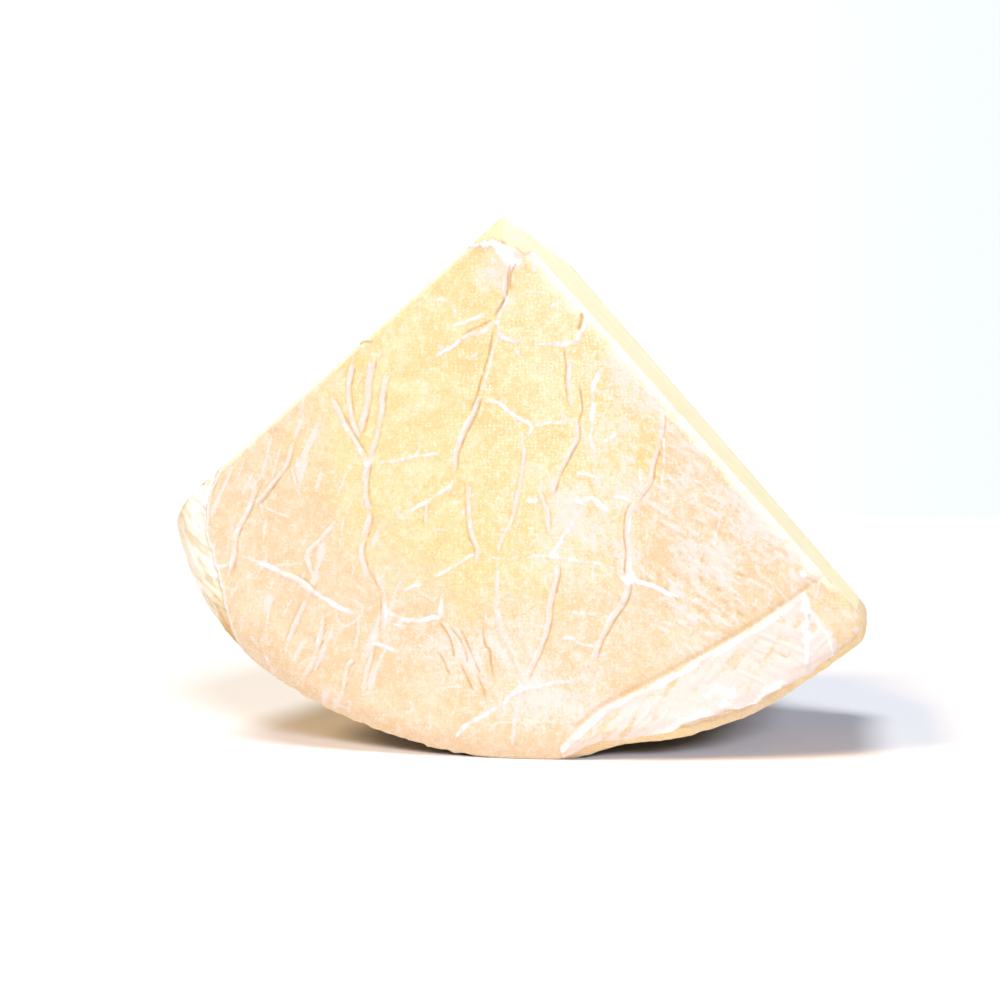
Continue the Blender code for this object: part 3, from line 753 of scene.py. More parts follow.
frontCap = {
    "columns": 392,
    "rows": 238,
    "thickness": 1.4,
    "spacing": 0.82,  # power that spreads the rows: below 1 they are closer at the rim
    "fanMiddle": (0.0, 2.6, -75.0),  # the point behind the cloth where it is closed
    # where the cloth starts, as angle and distance from the tip, where it ends inside the outline,
    # and at the left end the farthest it goes from the tip
    "lip": ((48.3, 12.2), (56.0, 12.3), (62.0, 11.6), (66.0, 9.6), (78.0, 8.4), (93.0, 6.9), (112.0, 6.6),
            (126.0, 8.0), (139.7, 10.4)),
    "rimInset": ((48.3, 1.8), (56.0, 2.5), (63.0, 2.7), (70.0, 3.4), (79.5, 3.7), (84.5, 0.9), (139.7, 0.9)),
    "leftReach": ((118.0, 150.0), (119.5, 136.5), (122.0, 134.0), (124.4, 130.6), (127.0, 125.4),
                  (130.0, 120.6), (132.5, 117.4), (134.5, 115.0), (136.5, 110.8), (138.0, 106.6),
                  (139.7, 101.0)),
    "goldMiddle": (-4.0, -48.0),  # x and z
    "goldReach": (46.0, 50.0),
    # where folds meet: x, z, size, rise
    "knots": ((32.8, -93.6, 2.1, 0.7), (13.0, -87.8, 0.9, 0.3), (-36.0, -64.0, 1.0, 0.3),
              (-1.4, -27.6, 0.8, 0.2), (4.8, -122.0, 1.0, 0.3), (76.9, -92.3, 1.0, 0.9)),
    # round areas: x, z, half widths, and a strength where there are several
    "lowStreaks": (-6.0, -112.0, 20.0, 17.0),
    "grains": (50.0, -97.0, 19.0, 12.0),
    "weave": (10.0, -42.0, 26.0, 28.0),
    "rubbedSpots": ((20.0, -16.0, 16.0, 12.0, 0.30), (12.0, -42.0, 18.0, 24.0, 0.36)),
    "filmSpots": ((64.0, -86.0, 20.0, 11.0, 0.40), (14.0, -122.0, 28.0, 13.0, 0.62),
                  (-36.0, -112.0, 20.0, 12.0, 0.16), (-74.0, -84.0, 6.0, 10.0, 0.30),
                  (28.0, -80.0, 16.0, 16.0, 0.30), (-3.0, -14.0, 8.0, 7.0, 1.00),
                  (30.0, -46.0, 13.0, 22.0, 0.38), (14.0, -76.0, 20.0, 14.0, 0.46),
                  (-34.0, -62.0, 10.0, 18.0, 0.30), (-12.0, -108.0, 14.0, 12.0, 0.24),
                  (52.0, -82.0, 24.0, 26.0, 0.26), (10.0, -100.0, 17.0, 13.0, 0.26)),
    # on the cuts: distance from the tip, distance from the cut, half widths
    "chip": (63.5, 0.0, 1.6, 1.5),
    "kink": (50.6, 0.0, 2.4, 2.0),
}


def leaning(x, z, lean, length, width, seed):
    # Streaky noise: its features are long in one direction, given in degrees above the x axis.
    run = math.radians(lean)
    along = x * math.cos(run) + z * math.sin(run)
    across = z * math.cos(run) - x * math.sin(run)
    across = across + 1.5 * blur(x, z, 11.0, seed + 1)
    return blur(along * width / length, across, width, seed)


def pathTo(radius, reach, shoulder):
    # Path walked along a spoke to come out at this distance from the tip.
    face = reach - shoulder
    turn = np.arcsin(np.clip((radius - face) / shoulder, 0, 1))
    return np.minimum(radius, face) + shoulder * turn


def capEnds(angle, reach, shoulder):
    # Start and end of the front cloth along each spoke: the tables' distances plus a wobble.
    degrees = np.degrees(angle)
    cap = frontCap
    end = np.minimum(reach - tabled(degrees, cap["rimInset"]), tabled(degrees, cap["leftReach"]))
    wobble = 0.5 * blur(degrees, degrees * 0, 1.1, 5) + 0.35 * blur(degrees, degrees * 0, 0.37, 6)
    uneven = step(degrees, 84, 60) + step(degrees, 116, 124)
    return tabled(degrees, cap["lip"]) + 0.6 * wobble, pathTo(end + 0.7 * wobble * uneven, reach, shoulder)


def streaks(x, z):
    # Wrinkles of the pressed cloth: streaks whose lean changes from region to region.
    left, low, right = step(-x, 12.0, 34.0), spot(x, z, *frontCap["lowStreaks"]), step(x, 20.0, 44.0)
    rest = np.clip(1 - left - low - right, 0, 1)
    grains = spot(x, z, *frontCap["grains"])
    streak = left * leaning(x, z, 68.0, 9.0, 1.15, 201) + low * 1.2 * leaning(x, z, -62.0, 11.0, 1.4, 211)
    grained = (1.0 + 0.5 * grains) * leaning(x, z, -36.0, 2.6, 0.70, 221)
    grained = grained + 0.5 * grains * blur(x, z, 0.9, 225)
    streak = streak + right * grained + rest * 0.7 * leaning(x, z, 78.0, 7.0, 1.6, 231)
    return streak, np.clip(0.45 + 0.55 * (left + low + right), 0, 1)


def veins(x, z, pitch, halfWidth, seed):
    # Thin broken lines where slow noise crosses zero: the distance is the value over its slope.
    value = blur(x, z, pitch, seed)
    slope = np.hypot(blur(x + 0.2, z, pitch, seed) - value, blur(x, z + 0.2, pitch, seed) - value) / 0.2
    line = np.clip(1.0 - np.abs(value) / (slope + 0.02) / halfWidth, 0, 1)
    return line * step(blur(x, z, 4.0, seed + 1) + 0.5 * blur(x, z, 1.3, seed + 2), -0.05, 0.40)


def veinNet(x, z, seed):
    # Wide and narrow veins together.
    return veins(x, z, 8.5, 0.75, seed) + 0.8 * veins(x, z, 5.5, 0.65, seed + 4)


def frontRelief(x, z):
    # Relief and looks of the front cloth at places on its face, in mm.
    cap = frontCap
    lift, pale, shade = (np.zeros(x.size) for _ in range(3))
    fx, fz = x.ravel(), z.ravel()
    for number, (kind, side, scale, *points) in enumerate(frontFolds):
        addFold(fx, fz, lift, pale, shade, kind, side, scale, points, 100 + 7 * number)
    for middleX, middleZ, size, rise in cap["knots"]:
        knot = spot(fx, fz, middleX, middleZ, size, size) * (1 + 0.5 * blur(fx, fz, 1.2, 9))
        lift += rise * knot
        pale = np.maximum(pale, np.clip(1.3 * knot, 0, 1))

    # the cloth dips beside the lap's upper edge, and a painted shadow lies above the edge
    over = lapSide(fx, fz)
    reached = step(fx, 12.0, 24.0)
    lift -= 0.40 * bell(over, -0.4, 0.8) * reached
    shade = np.maximum(shade, 0.55 * bell(over, -0.8, 0.9) * reached)
    shade = np.maximum(shade, 0.30 * bell(over, -2.0, 1.9) * reached * (over < 0))

    # veins, streaks and grain
    vein = veinNet(fx, fz, 401)
    pale = np.maximum(pale, 0.60 * vein)
    streak, amount = streaks(fx, fz)
    lift += 0.06 * vein + 0.20 * streak * amount + 0.12 * blur(fx, fz, 3.4, 41) + 0.08 * blur(fx, fz, 1.6, 42)
    lift += 0.04 * blur(fx, fz, 0.8, 43)
    # streak crests paler, partly pale cloth and partly painted highlight; painted shade in the streak troughs
    pale = np.maximum(pale, 0.52 * np.clip(2.2 * streak - 0.75, 0, 1) * amount)
    shade = np.maximum(shade, 0.75 * np.clip(-streak - 0.42, 0, 1) * amount)

    # gold in the middle, a milky film in places, less of both at the right corner
    goldX, goldZ = cap["goldMiddle"]
    reachX, reachZ = cap["goldReach"]
    peach = step(np.hypot((fx - goldX) / reachX, (fz - goldZ) / reachZ), 0.55, 1.45)
    film = 0.08 * peach + 0.07
    for *area, strength in cap["filmSpots"]:
        film = film + strength * spot(fx, fz, *area)
    radius = np.hypot(fx, fz)
    rightGap, leftGap = cutGaps(radius, np.arctan2(-fz, fx))
    film = film + 0.35 * np.exp(-rightGap / 7.0) * (fz < -35)
    film = 0.85 * film * (0.85 + 0.5 * blur(fx, fz, 8.0, 45))
    film = film + (0.30 + 0.25 * step(fx, -20.0, 10.0)) * np.clip(streak, 0, 1) * amount
    corner = step(fx, 83.0, 88.0) * step(-fz, 90.0, 96.0)
    film, peach = film * (1 - 0.8 * corner), peach * (1 - 0.45 * corner)

    # the weave shows where the cloth is worn, and it is paler along the cut edges and worn pale in two areas
    weave = spot(fx, fz, *cap["weave"]) + 0.3
    # along the cut edges the paleness is partly wear and partly a painted highlight on the rounded edge
    wearAndHighlight = bell(rightGap, 0, 2.6) * (0.85 + 0.5 * blur(fx, fz, 3.0, 46)) + 0.6 * bell(leftGap, 0, 1.4)
    wearAndHighlight = wearAndHighlight * step(radius, 132, 122)
    for *area, strength in cap["rubbedSpots"]:
        wearAndHighlight = wearAndHighlight + strength * spot(fx, fz, *area)
    return [values.reshape(x.shape) for values in (lift, pale, shade, peach, film, weave, wearAndHighlight)]


def makeFrontCap(material):
    # Polar grid about the tip: columns are spokes from the right cut to the left, rows go out to the rim.
    cap = frontCap
    angle, reach, shoulder = spokes(cap["columns"])
    start, end = capEnds(angle, reach, shoulder)
    share = np.linspace(0, 1, cap["rows"])[:, None] ** cap["spacing"]
    path = start + (end - start) * share
    angle, reach, shoulder = spread(path.shape, angle, reach, shoulder)
    radius = np.minimum(path, reach)
    x, z = radius * np.cos(angle), -radius * np.sin(angle)
    lift, pale, shade, peach, film, weave, wearAndHighlight = frontRelief(x, z)

    # crumpled lip round the tip
    degrees = np.degrees(angle)
    fromLip, fromEnd = path - start, end - path
    onLeft = step(degrees, 63, 67)
    broad = 2.0 + 4.6 * bell(degrees, 80.0, 17.0)
    crumple = blur(radius * 0.7, degrees * 0.20, 1.3, 48)
    lift = lift + onLeft * (0.55 * bell(fromLip, 0.9, 1.0) + 0.22 * crumple * bell(fromLip, 0, 1.4 * broad))
    lift = lift + 0.25 * bell(fromLip, 0.5, 0.6) * (1 - onLeft)
    pale = np.maximum(pale, (0.90 + 0.40 * crumple) * np.exp(-(fromLip / broad) ** 6) * onLeft)
    pale = np.maximum(pale, 0.6 * bell(fromLip, 0, 0.8))

    # rolled outer edge
    rolled = bell(fromEnd, 0.6, 0.7) * (step(degrees, 118, 124) + 0.4 * step(degrees, 82, 76))
    lift = lift + 0.1 + 0.45 * rolled
    pale = np.maximum(pale, 0.75 * rolled)

    # at the two cuts the cloth is frayed and bends in, with a chip on the right and a kink on the left
    rightGap, leftGap = cutGaps(radius, angle)
    frayed = 0.8 + 0.5 * blur(radius, radius * 0, 2.0, 51)
    # paler along the right cut: partly frayed cloth and partly a painted highlight on the rounded edge
    pale = np.maximum(pale, 0.45 * bell(rightGap, 0, 0.9) * frayed * step(radius, 136, 128))
    lift = lift - 0.9 * bell(rightGap, 0, 0.9) - 0.9 * bell(leftGap, 0, 0.9)
    chip = spot(radius, rightGap, *cap["chip"])
    lift = lift + 0.5 * chip + 0.9 * spot(radius, leftGap, *cap["kink"])
    pale = np.maximum(pale, 0.9 * chip)
    outer = wrap(path, angle, reach, shoulder, lift)
    edge = wrap(path, angle, reach, shoulder, np.minimum(lift, 0.0) - cap["thickness"])
    looks = {"pale": pale, "shade": shade, "peach": peach, "film": film, "weave": weave, "wearAndHighlight": wearAndHighlight}
    return backed("rindFront", outer, edge, cap["fanMiddle"], looks, material)


lapSheet = {
    "outlinePoints": 900,
    "columns": 330,
    "rows": 120,
    "line": ((8.0, -139.0), (14.9, -136.6), (25.3, -127.4), (38.2, -120.4), (51.0, -113.2), (63.6, -105.8),
             (79.5, -95.0), (84.0, -92.0)),  # upper edge, x and z
    "foot": (83.9, 51.6),  # angles of the foot's left and right end
    "thickness": 0.9,
    "rise": 0.75,
    "bow": (1.0, 0.72),  # way in which the right end is bent, x and z
    # x, z, half widths
    "whitePatch": (57.0, -122.5, 6.5, 3.4),
    "clearPatch": (25.0, -133.5, 9.0, 2.5),
    "clearOval": (82.4, -101.5, 2.6, 3.6),
    "stripe": (77.4, 1.6),  # x, half width
}


def lapSide(x, z):
    # Distance past the lap's upper edge, positive under it: the side of the nearest of its points.
    line = curveThrough(lapSheet["line"])
    _, _, left = nearestOn(line[::4], runsOf(line)[::4], x, z)
    return -left


def makeLap(material):
    # Second layer of cloth low on the right: a grid from its upper edge to the rim, wrinkled and rolled over.
    # Each column starts on the upper edge and ends on the rim, at the same share of both lengths.
    sheet = lapSheet
    angles, reaches, shoulders = spokes(sheet["outlinePoints"])
    line = curveThrough(sheet["line"][1:-1], 40)
    lengths = lengthsAlong(line)
    along = np.linspace(0.0, lengths[-1] - 0.6, sheet["columns"])
    upper = placesAt(line, lengths, along)
    share = along / lengths[-1]
    footLeft, footRight = sheet["foot"]
    lowAngle = np.radians(footLeft + (footRight - footLeft) * share)
    lowReach = np.interp(lowAngle, angles, reaches) - tabled(np.degrees(lowAngle), frontCap["rimInset"])
    uneven = 0.9 * blur(along, along * 0, 5.5, 301) + 0.25 * blur(along, along * 0, 1.6, 302)
    lowReach = lowReach + 0.3 + uneven
    lower = direction(lowAngle) * lowReach[:, None]
    down = np.linspace(0, 1, sheet["rows"])[:, None, None]
    flat = upper[None] * (1 - down) + lower[None] * down
    bent = (1.8 * np.sin(math.pi * down ** 1.4) - 1.2) * share[None, :, None] ** 14
    flat = flat + np.array(sheet["bow"]) * bent
    x, z = flat[..., 0], flat[..., 1]
    width = np.linalg.norm(lower - upper, axis=1)[None]
    fromTop, fromFoot = down[..., 0] * width, (1 - down[..., 0]) * width
    fromLeft, fromRight = spread(x.shape, along, along[-1] - along)
    border = np.minimum(np.minimum(fromTop, fromFoot), np.minimum(fromLeft * 0.6, fromRight * 0.35))
    wobble = 0.35 * blur(x, z, 3.0, 303)

    # long wrinkles beside the upper edge, slanted ones in the middle and crumpled ones along the foot
    beside = blur(fromLeft * 0.10, fromTop * 0.9 + fromLeft * 0.02, 1.5, 304)
    slanted = leaning(x, z, 58.0, 8.0, 1.2, 305) + 0.5 * leaning(x, z, 42.0, 6.0, 0.8, 306)
    feather = leaning(x, z, -26.0, 6.0, 0.9, 307)
    footed = leaning(x, z, 22.0, 10.0, 1.3, 309)
    nearTop, nearFoot = bell(fromTop, 0, 3.5), bell(fromFoot, 0, 4.0)
    onRight = step(x, 58.0, 66.0) * step(x, 80.0, 76.0)
    middle = (slanted * (1 - onRight) + feather * onRight) * (1 - nearTop) * (1 - nearFoot)
    wrinkles = beside * nearTop + middle + footed * nearFoot
    lift = sheet["rise"] * step(border, -0.2, 1.0) + 0.35 * bell(fromTop + wobble, 1.0, 0.8)
    lift = lift + (0.26 * wrinkles + 0.10 * blur(x, z, 1.4, 311)) * step(border, 0.0, 1.2)
    stripeX, stripeSize = sheet["stripe"]
    stripe = bell(x - 0.8 * blur(x, z, 2.4, 313), stripeX, stripeSize) * step(z, -119.0, -112.0)
    rightLine = bell(fromRight - 0.6 * blur(x, z, 3.0, 314), 2.6, 0.8)
    cloudy = blur(x, z, 5.5, 315)
    lift = lift + 0.45 * stripe * (1 + blur(x, z, 1.3, 316))

    # white along the upper edge and the foot, on the crests, the stripe, a patch and the right end
    # the white strip along the upper edge is a painted highlight on the raised edge
    strip = np.exp(-(fromTop + wobble - 1.4) ** 4)
    strip = strip * (0.95 + 0.35 * blur(fromLeft, fromTop, 4.0, 317))
    footWhite = np.clip(0.75 + 0.6 * cloudy + 0.4 * footed, 0, 1) * step(x, 24.0, 32.0) * step(x, 78.0, 70.0)
    patch = spot(x, z, *sheet["whitePatch"]) * (0.8 + 0.6 * blur(x, z, 2.2, 37))
    pale = 0.92 * strip
    # the crests are paler, partly pale cloth and partly painted highlight
    for white in (0.62 * np.clip(wrinkles * 1.5, 0, 1), nearFoot * footWhite, 0.95 * patch, 0.8 * rightLine,
                  0.95 * stripe * (0.9 + 0.4 * blur(x, z, 1.6, 318))):
        pale = np.maximum(pale, white)
    # painted shade in the wrinkle troughs, and in dark dashes left of the stripe
    dashShade = np.clip(-feather * 1.8 - 0.75, 0, 1) * bell(x, 72.5, 3.2)
    shade = np.maximum(0.40 * np.clip(-wrinkles - 0.40, 0, 1), 0.8 * dashShade)
    ovalX, ovalZ, sizeX, sizeZ = sheet["clearOval"]
    oval = bell(((x - ovalX) / sizeX) ** 2 + ((z - ovalZ) / sizeZ) ** 2, 0, 1)
    film = 0.92 + 0.30 * cloudy + 0.45 * slanted - 0.35 * oval - 0.35 * spot(x, z, *sheet["clearPatch"])
    corner = step(fromRight + 1.0 * blur(x, z, 2.5, 319), 2.4, 0.3)
    looks = {"pale": pale * (1 - corner), "shade": shade, "peach": 1.0 - 0.2 * corner,
             "film": film * (1 - corner)}

    angle, radius = np.arctan2(-z, x), np.hypot(x, z)
    reach, shoulder = np.interp(angle, angles, reaches), np.interp(angle, angles, shoulders)
    path = pathTo(radius, reach, shoulder)
    outer = wrap(path, angle, reach, shoulder, lift)
    inner = wrap(path, angle, reach, shoulder, np.minimum(lift - sheet["thickness"], -0.6))
    return slab("rindLap", outer, inner, looks, material)


rimCloth = {
    "columns": 300,
    "rows": 160,
    "spacing": 1.6,  # power that brings the rows closer together at the front
    "thickness": 1.4,
    "tuck": 4.0,  # how far it runs under the front cap
    "backTuck": 3.0,
    "length": 262.0,  # along the rim
    "seam": 40.0,  # from the front shoulder back to the edge of the strip
    "brownSpot": (124.5, 4.5, 2.6, 4.5),  # angle, distance from the front cap, half widths
}


def makeRimCloth(material):
    # Binding cloth: a grid along the rim and from under the front cap to under the back cap.
    cloth = rimCloth
    angle, reach, shoulder = spokes(cloth["columns"])
    _, capEnd = capEnds(angle, reach, shoulder)
    last = fullPath(reach, shoulder) - (reach - shoulder) + cloth["backTuck"]
    start = capEnd - cloth["tuck"]
    share = np.linspace(0, 1, cloth["rows"])[:, None] ** cloth["spacing"]
    path = start + (last - start) * share
    around = np.linspace(0, 1, cloth["columns"]) * cloth["length"]
    angle, reach, shoulder, around = spread(path.shape, angle, reach, shoulder, around)
    degrees = np.degrees(angle)
    fromCap = path - capEnd
    under = fading(fromCap + 0.4, 0.8)
    frontEnd = fading(fromCap, 26.0)
    nearEdge = fading(fromCap, 14.0) + fading(last - path, 14.0)
    leftEnd = step(degrees, 117.0, 124.0)
    lowRight = step(degrees, 84, 78) * frontEnd
    calm = 1 - 0.7 * lowRight

    # pleats at both edges, crinkles on the left end, which run along the rim, and the edge of a strip
    pleats = blur(around, path * 0.18, 2.6, 61) + 0.6 * blur(around, path * 0.3, 1.2, 62)
    crinkle = 0.8 * blur(around * 0.12 + path * 0.15, path - around * 0.12, 0.85, 63)
    crinkle = crinkle + 0.6 * blur(around * 0.22, path + around * 0.08, 0.55, 64)
    seam = path - (reach + shoulder * 0.57 + cloth["seam"] + 2.5 * np.sin(around / 37.0))
    edged = np.clip(nearEdge, 0, 1)
    lift = 0.35 * pleats * (0.25 + 0.75 * edged) * (1 - leftEnd) * calm
    lift = lift + 0.12 * blur(around, path, 3.0, 65) * (1 - 0.5 * lowRight)
    lift = lift + 0.50 * crinkle * leftEnd * frontEnd
    lift = lift + 0.7 * step(seam, -0.5, 0.8) * fading(seam, 9.0)
    lift = lift + 0.06 * blur(around, path, 0.9, 66) - 1.1 * under

    # pleat crests paler, partly pale cloth and partly painted highlight
    pale = np.clip(0.55 * pleats, 0, 1) * edged * calm
    # on the strip's raised edge a painted highlight; on the left end the crinkles' crests paler, partly
    # painted highlight
    for white in (0.8 * bell(seam, 0.9, 0.7) * (0.75 + 0.5 * blur(around, path, 2.0, 67)),
                  leftEnd * frontEnd * np.clip(0.30 + 1.3 * crinkle, 0, 1) * step(degrees, 124, 131),
                  leftEnd * frontEnd * np.clip(1.5 * crinkle - 0.1, 0, 1)):
        pale = np.maximum(pale, white)
    # painted shade in pleat troughs and beside the strip's edge, then in the hollows of the left end's
    # crinkles
    shade = np.clip(-0.6 * pleats - 0.15, 0, 1) * edged + 0.5 * bell(seam, -0.7, 0.5)
    shade = shade * (1 - leftEnd) * calm
    shade = np.maximum(shade, leftEnd * np.clip(-1.9 * crinkle - 0.15, 0, 1))
    white = leftEnd * frontEnd * (1 - 0.7 * step(degrees, 133, 124))
    brown = spot(degrees, fromCap, *cloth["brownSpot"])
    shade = np.maximum(shade, 0.95 * brown)
    pale, white = pale * (1 - 0.9 * brown), white * (1 - 0.95 * brown)
    peach = 0.45 + 0.3 * blur(around, path, 14.0, 68)
    film = 0.16 + 0.2 * blur(around, path, 9.0, 69) + 0.3 * np.clip(pleats, 0, 1) * edged
    film = film * (1 - lowRight) * (1 - leftEnd * frontEnd)
    outer = wrap(path, angle, reach, shoulder, lift)
    inner = wrap(path, angle, reach, shoulder, -cloth["thickness"] - under)
    looks = {"pale": pale, "shade": shade, "peach": peach, "film": film, "weave": 0.3 + pale * 0,
             "white": white}
    return slab("rindRim", outer, inner, looks, material)


backCap = {
    "columns": 300,
    "rows": 170,
    "thickness": 1.4,
    "spacing": 0.85,
    "start": 2.2,  # from the back tip
    "roundShoulder": 1.25,  # how far it runs round the back shoulder, in radians
    "goldMiddle": (-4.0, -52.0),
    "goldReach": 52.0,
    "folds": 38,
    "seed": 11,
    "foldOrder": ("band", "thread", "soft", "thread", "band", "gap", "thread"),
}


def backFolds():
    # Folds of the back cloth: walks from places spread by the golden ratio, mostly away from the tip.
    random = np.random.default_rng(backCap["seed"])
    folds = []
    for number in range(backCap["folds"]):
        turn = math.radians(56 + 76 * (number * 0.618 % 1))  # degrees, clear of both cuts
        reach = 18 + 96 * math.sqrt((number * 0.3247 + 0.4) % 1)  # mm, the root keeps them evenly apart
        place = np.array([reach * math.cos(turn), -reach * math.sin(turn)])
        heading = random.uniform(-0.5, 0.5) - turn + (math.pi / 2 if number % 4 == 3 else 0)
        points = [tuple(place)]
        for _ in range(random.integers(2, 5)):
            heading += random.uniform(-0.35, 0.35)
            place = place + random.uniform(5, 8) * np.array([math.cos(heading), math.sin(heading)])
            points.append(tuple(place))
        kind = backCap["foldOrder"][number % len(backCap["foldOrder"])]
        folds.append((kind, (-1, 1)[number % 2], random.uniform(0.6, 1.2), *points))
    return folds


def makeBackCap(material):
    # Like the front cap, but walked from the back tip outwards, with folds of its own.
    cap = backCap
    angle, reach, shoulder = spokes(cap["columns"])
    total = fullPath(reach, shoulder)
    degrees = np.degrees(angle)
    end = reach - shoulder + shoulder * cap["roundShoulder"] + 0.5 * blur(degrees, degrees * 0, 1.1, 71)
    start = cap["start"] + 0.5 * blur(degrees, degrees * 0, 6.0, 72)
    share = np.linspace(0, 1, cap["rows"])[:, None] ** cap["spacing"]
    walked = start + (end - start) * share
    angle, reach, shoulder, total = spread(walked.shape, angle, reach, shoulder, total)
    radius = np.minimum(walked, reach)
    x, z = radius * np.cos(angle), -radius * np.sin(angle)
    fx, fz = x.ravel(), z.ravel()
    lift, pale, shade = (np.zeros(fx.size) for _ in range(3))
    for number, (kind, side, scale, *points) in enumerate(backFolds()):
        addFold(fx, fz, lift, pale, shade, kind, side, scale, points, 900 + 7 * number)
    lift, pale, shade = (values.reshape(x.shape) for values in (lift, pale, shade))

    # crepe in some zones, veins, and a rolled outer edge
    crepe = blur(x * 0.9 + z * 0.45, z * 0.22, 1.4, 73)
    zone = step(blur(x, z, 22.0, 74), 0.1, 0.7)
    lift = lift + 0.11 * blur(x, z, 3.1, 75) + 0.07 * blur(x, z, 1.3, 76) + 0.28 * crepe * zone
    # painted shade in the crepe's troughs; its crests paler, partly pale cloth and partly painted highlight
    shade = np.maximum(shade, 0.5 * np.clip(-crepe - 0.25, 0, 1) * zone)
    pale = np.maximum(pale, 0.45 * np.clip(crepe - 0.1, 0, 1) * zone)
    pale = np.maximum(pale, 0.60 * veinNet(x, z, 411))
    rolled = bell(end - walked, 0.5, 0.6)
    lift = lift + 0.1 + 0.4 * rolled
    pale = np.maximum(pale, 0.8 * rolled * (0.7 + 0.5 * blur(np.degrees(angle), walked, 2.0, 77)))
    goldX, goldZ = cap["goldMiddle"]
    peach = step(np.hypot(x - goldX, z - goldZ) / cap["goldReach"], 0.55, 1.45)
    film = 0.16 + 0.42 * np.clip(leaning(x, z, 74.0, 10.0, 1.7, 241), 0, 1) + 0.25 * blur(x, z, 16.0, 243)
    outer = wrap(total - walked, angle, reach, shoulder, lift)
    edge = wrap(total - walked, angle, reach, shoulder, np.minimum(lift, 0.0) - cap["thickness"])
    looks = {"pale": pale, "shade": shade, "peach": peach, "film": film, "weave": 0.4 + pale * 0}
    middleX, depth, middleZ = frontCap["fanMiddle"]
    return backed("rindBack", outer, edge, (middleX, wheel["thickness"] - depth, middleZ), looks, material)


pasteShape = {
    "rowStep": 0.9,
    "columns": 40,
    "across": 112,  # points from the front to the back of each cut face
    "depth": 1.35,  # under the cloth
    "bareDepth": 0.15,  # where no cloth covers it
    "weld": 0.002,
}


def makePaste(material):
    # The cheese inside: a skin just under the cloth, closed by the two cut faces, which are ruled grids.
    # Each cut face joins a column's front half to its back half, row by row. Its relief fades to nothing
    # at its borders, and a last soft noise moves all points, so that the edges aren't ruler straight.
    shape = pasteShape
    angle, reach, shoulder = spokes(shape["columns"])
    half = fullPath(reach, shoulder) / 2
    count = int(half.max() / shape["rowStep"])
    share = np.linspace(0, 1, count)[:, None]
    share = np.concatenate([share[:-1] / 2, 1 - share[::-1] / 2])
    path = share * 2 * half
    angle, reach, shoulder = spread(path.shape, angle, reach, shoulder)
    bare = tabled(np.degrees(angle), frontCap["lip"])
    sunk = shape["bareDepth"] + (shape["depth"] - shape["bareDepth"]) * step(path, bare - 1.5, bare + 1.5)
    crumbly = 0.35 * blur(path, np.degrees(angle) * 0.12, 0.8, 81) * step(path, 0.5, 3.0) * step(path, 16, 9)
    skin = wrap(path, angle, reach, shoulder, crumbly - sunk)
    rows, columns = path.shape
    goldSkin = 0.60 * step(path, 0.2, 2.0) * step(path, bare + 3, bare - 1) * step(np.degrees(angle), 62, 100)
    parts, quads, golden = [skin.reshape(-1, 3)], [gridQuads(rows, columns)], [goldSkin.ravel()]
    first = rows * columns
    across = np.linspace(0, 1, shape["across"])[None, :, None]
    for column, cut in ((0, "rightCut"), (columns - 1, "leftCut")):
        front, back = skin[:count, column], skin[::-1][:count, column]
        face = front[:, None] * (1 - across) + back[:, None] * across
        normal = direction(math.radians(wheel[cut]) - math.copysign(math.pi / 2, 90 - wheel[cut]))
        along, over = np.broadcast_arrays(path[:count, column][:, None], face[..., 1])
        rim = np.minimum(np.minimum(along, half[column] - along), 6.0)
        side = np.minimum(over - front[:, None, 1], back[:, None, 1] - over)
        inside = step(np.minimum(side, rim), 0.0, 1.6)
        relief = 0.16 * blur(along, over, 9.0, 83 + column) + 0.10 * blur(along * 0.25, over, 1.8, 84)
        relief = relief + 0.05 * blur(along, over, 1.3, 85)
        pits = np.clip(blur(along, over, 2.3, 86 + column) - 0.62, 0, 1) * 1.2
        face = face + ((relief - pits) * inside)[..., None] * np.array([normal[0], 0.0, normal[1]])
        parts.append(face.reshape(-1, 3))
        quad = gridQuads(count, shape["across"], first)
        quads.append(quad if column else quad[:, ::-1])
        golden.append(np.zeros(count * shape["across"]))
        first += count * shape["across"]
    places = np.concatenate(parts)
    nearTip = np.exp(-np.hypot(places[:, 0], places[:, 2]) / 3.0)
    places[:, 2] -= nearTip * (0.35 + 0.35 * blur(places[:, 1], places[:, 1] * 0, 5.0, 88)
                               + 0.2 * blur(places[:, 1], places[:, 1] * 0, 1.4, 89))
    return makePiece("paste", places, np.concatenate(quads), looks={"golden": np.concatenate(golden)},
                     material=material, weld=shape["weld"])


print("materials")
rind = rindMaterial()
paste = pasteMaterial()

pieces = []
for stage, make in (("front cloth", makeFrontCap), ("lap", makeLap), ("binding cloth", makeRimCloth),
                    ("back cloth", makeBackCap)):
    print(stage)
    pieces.append(make(rind))
print("paste")
pasteBody = makePaste(paste)

for piece in pieces:
    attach(piece, "root")
    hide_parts("cheddar_wedge")
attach(pasteBody, "root")
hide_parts("cheddar_wedge")


# Camera, floor and light

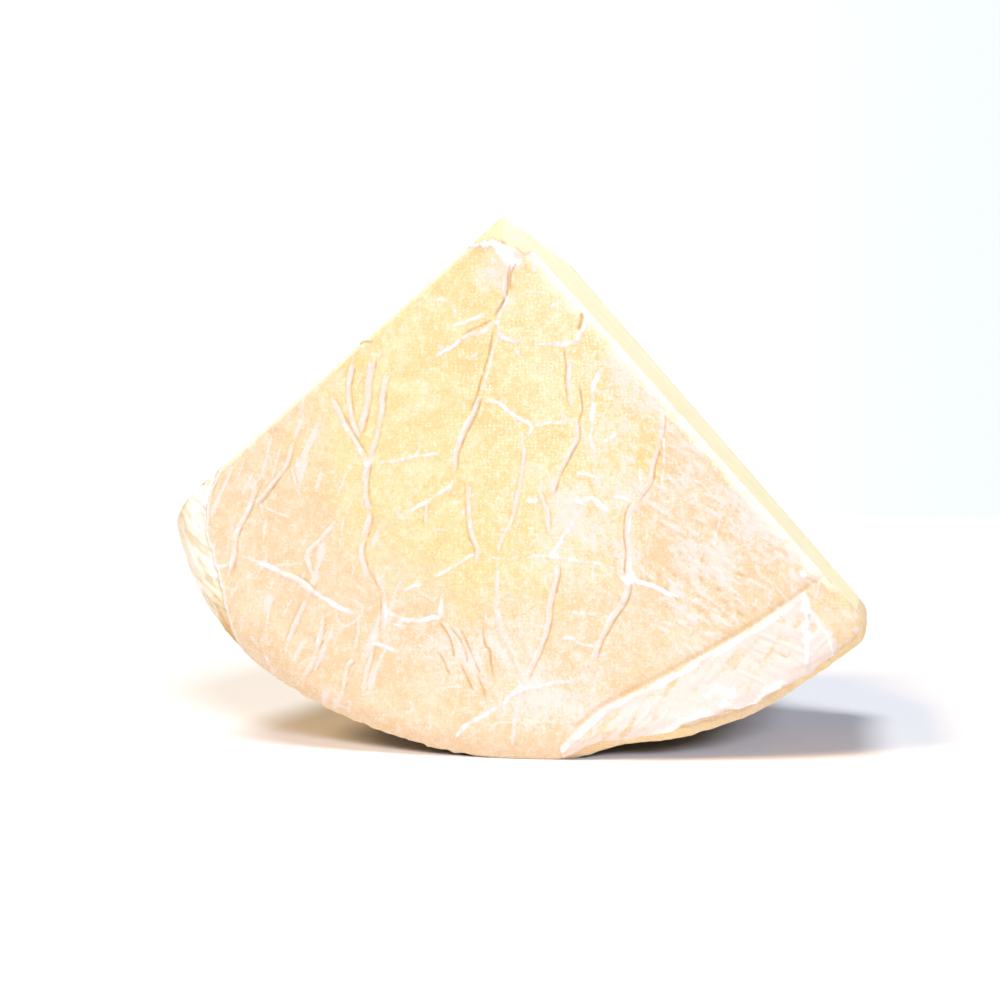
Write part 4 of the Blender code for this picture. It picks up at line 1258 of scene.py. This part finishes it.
studio = {
    "cameraFromTip": (101.87, -529.33, -73.49),  # mm
    "turn": 10.976,  # degrees to the left of straight back
    "lens": 75.0,
    "floorSize": 8.0,  # m, from the middle to each side
    "floorColour": (0.45, 0.45, 0.45),
    "ambient": 0.23,
    "backdrop": 1.05,
    "coolBackdrop": (0.90, 0.945, 1.0),
    "suns": (
        # name, what it lights, degrees from the front to the right, height and width in degrees,
        # strength, colour
        ("rightLight", "wedge", 20.0, 44.0, 16.0, 1.54, (0.88, 0.95, 1.0)),
        ("leftLight", "wedge", -30.0, 40.0, 16.0, 1.28, (1.0, 0.93, 0.80)),
        ("topLight", "wedge", 75.0, 68.0, 30.0, 1.27, (1.0, 0.985, 0.96)),
        ("backLight", "wedge", 180.0, 35.0, 24.0, 0.75, (1.0, 0.985, 0.96)),
        ("lowFloorLight", "floor", 20.0, 17.0, 9.0, 7.16, (0.77, 0.80, 1.0)),
        ("leftFloorLight", "floor", -24.0, 30.0, 14.0, 5.31, (1.0, 0.684, 0.368)),
        ("topFloorLight", "floor", -4.0, 52.0, 18.0, 4.50, (0.94, 0.97, 1.0)),
    ),
}


def makeStudio():
    # Camera, pale floor, even white surroundings and soft suns, some for the wedge and some for the floor.
    camera = toScene("camera", bpy.data.cameras.new("camera"))
    camera.data.lens = studio["lens"]
    camera.data.clip_start = 0.01
    camera.location = Vector(np.array(studio["cameraFromTip"]) * mm + tip)
    camera.rotation_euler = (math.pi / 2, 0.0, math.radians(studio["turn"]))
    bpy.context.scene.camera = camera

    size = studio["floorSize"]
    mesh = bpy.data.meshes.new("floor")
    corners = [(-size, -size, 0), (size, -size, 0), (size, size, 0), (-size, size, 0)]
    mesh.from_pydata(corners, [], [(0, 1, 2, 3)])
    material, tree, shader = newMaterial("paleFloor", 1.0, 0.0)
    feed(tree, shader.inputs["Base Color"], studio["floorColour"])
    mesh.materials.append(material)
    floor = toScene("floor", mesh)

    lit = {"wedge": bpy.data.collections.new("litWedge"), "floor": bpy.data.collections.new("litFloor")}
    lit["floor"].objects.link(floor)
    for piece in (*pieces, pasteBody):
        lit["wedge"].objects.link(piece)
    for name, target, azimuth, height, width, strength, colour in studio["suns"]:
        light = bpy.data.lights.new(name, "SUN")
        light.energy = strength
        light.angle = math.radians(width)
        light.color = colour
        lamp = toScene(name, light)
        lamp.rotation_euler = (math.radians(90.0 - height), 0.0, math.radians(azimuth))
        lamp.light_linking.receiver_collection = lit[target]

    world = bpy.data.worlds.new("studio")
    world.use_nodes = True
    tree = world.node_tree
    background = tree.nodes["Background"]
    side = tree.nodes.new("ShaderNodeSeparateXYZ")
    tree.links.new(tree.nodes.new("ShaderNodeTexCoord").outputs["Generated"], side.inputs[0])
    cool = between(tree, side.outputs["X"], -0.12, 0.04)
    feed(tree, background.inputs["Color"], blendColour(tree, cool, (1.0, 1.0, 1.0), studio["coolBackdrop"]))
    seen = tree.nodes.new("ShaderNodeLightPath").outputs["Is Camera Ray"]
    strength = between(tree, seen, 0.0, 1.0, studio["ambient"], studio["backdrop"])
    feed(tree, background.inputs["Strength"], strength)
    scene = bpy.context.scene
    scene.world = world
    scene.view_settings.view_transform = "Standard"
    scene.view_settings.look = "None"


print("studio")
makeStudio()
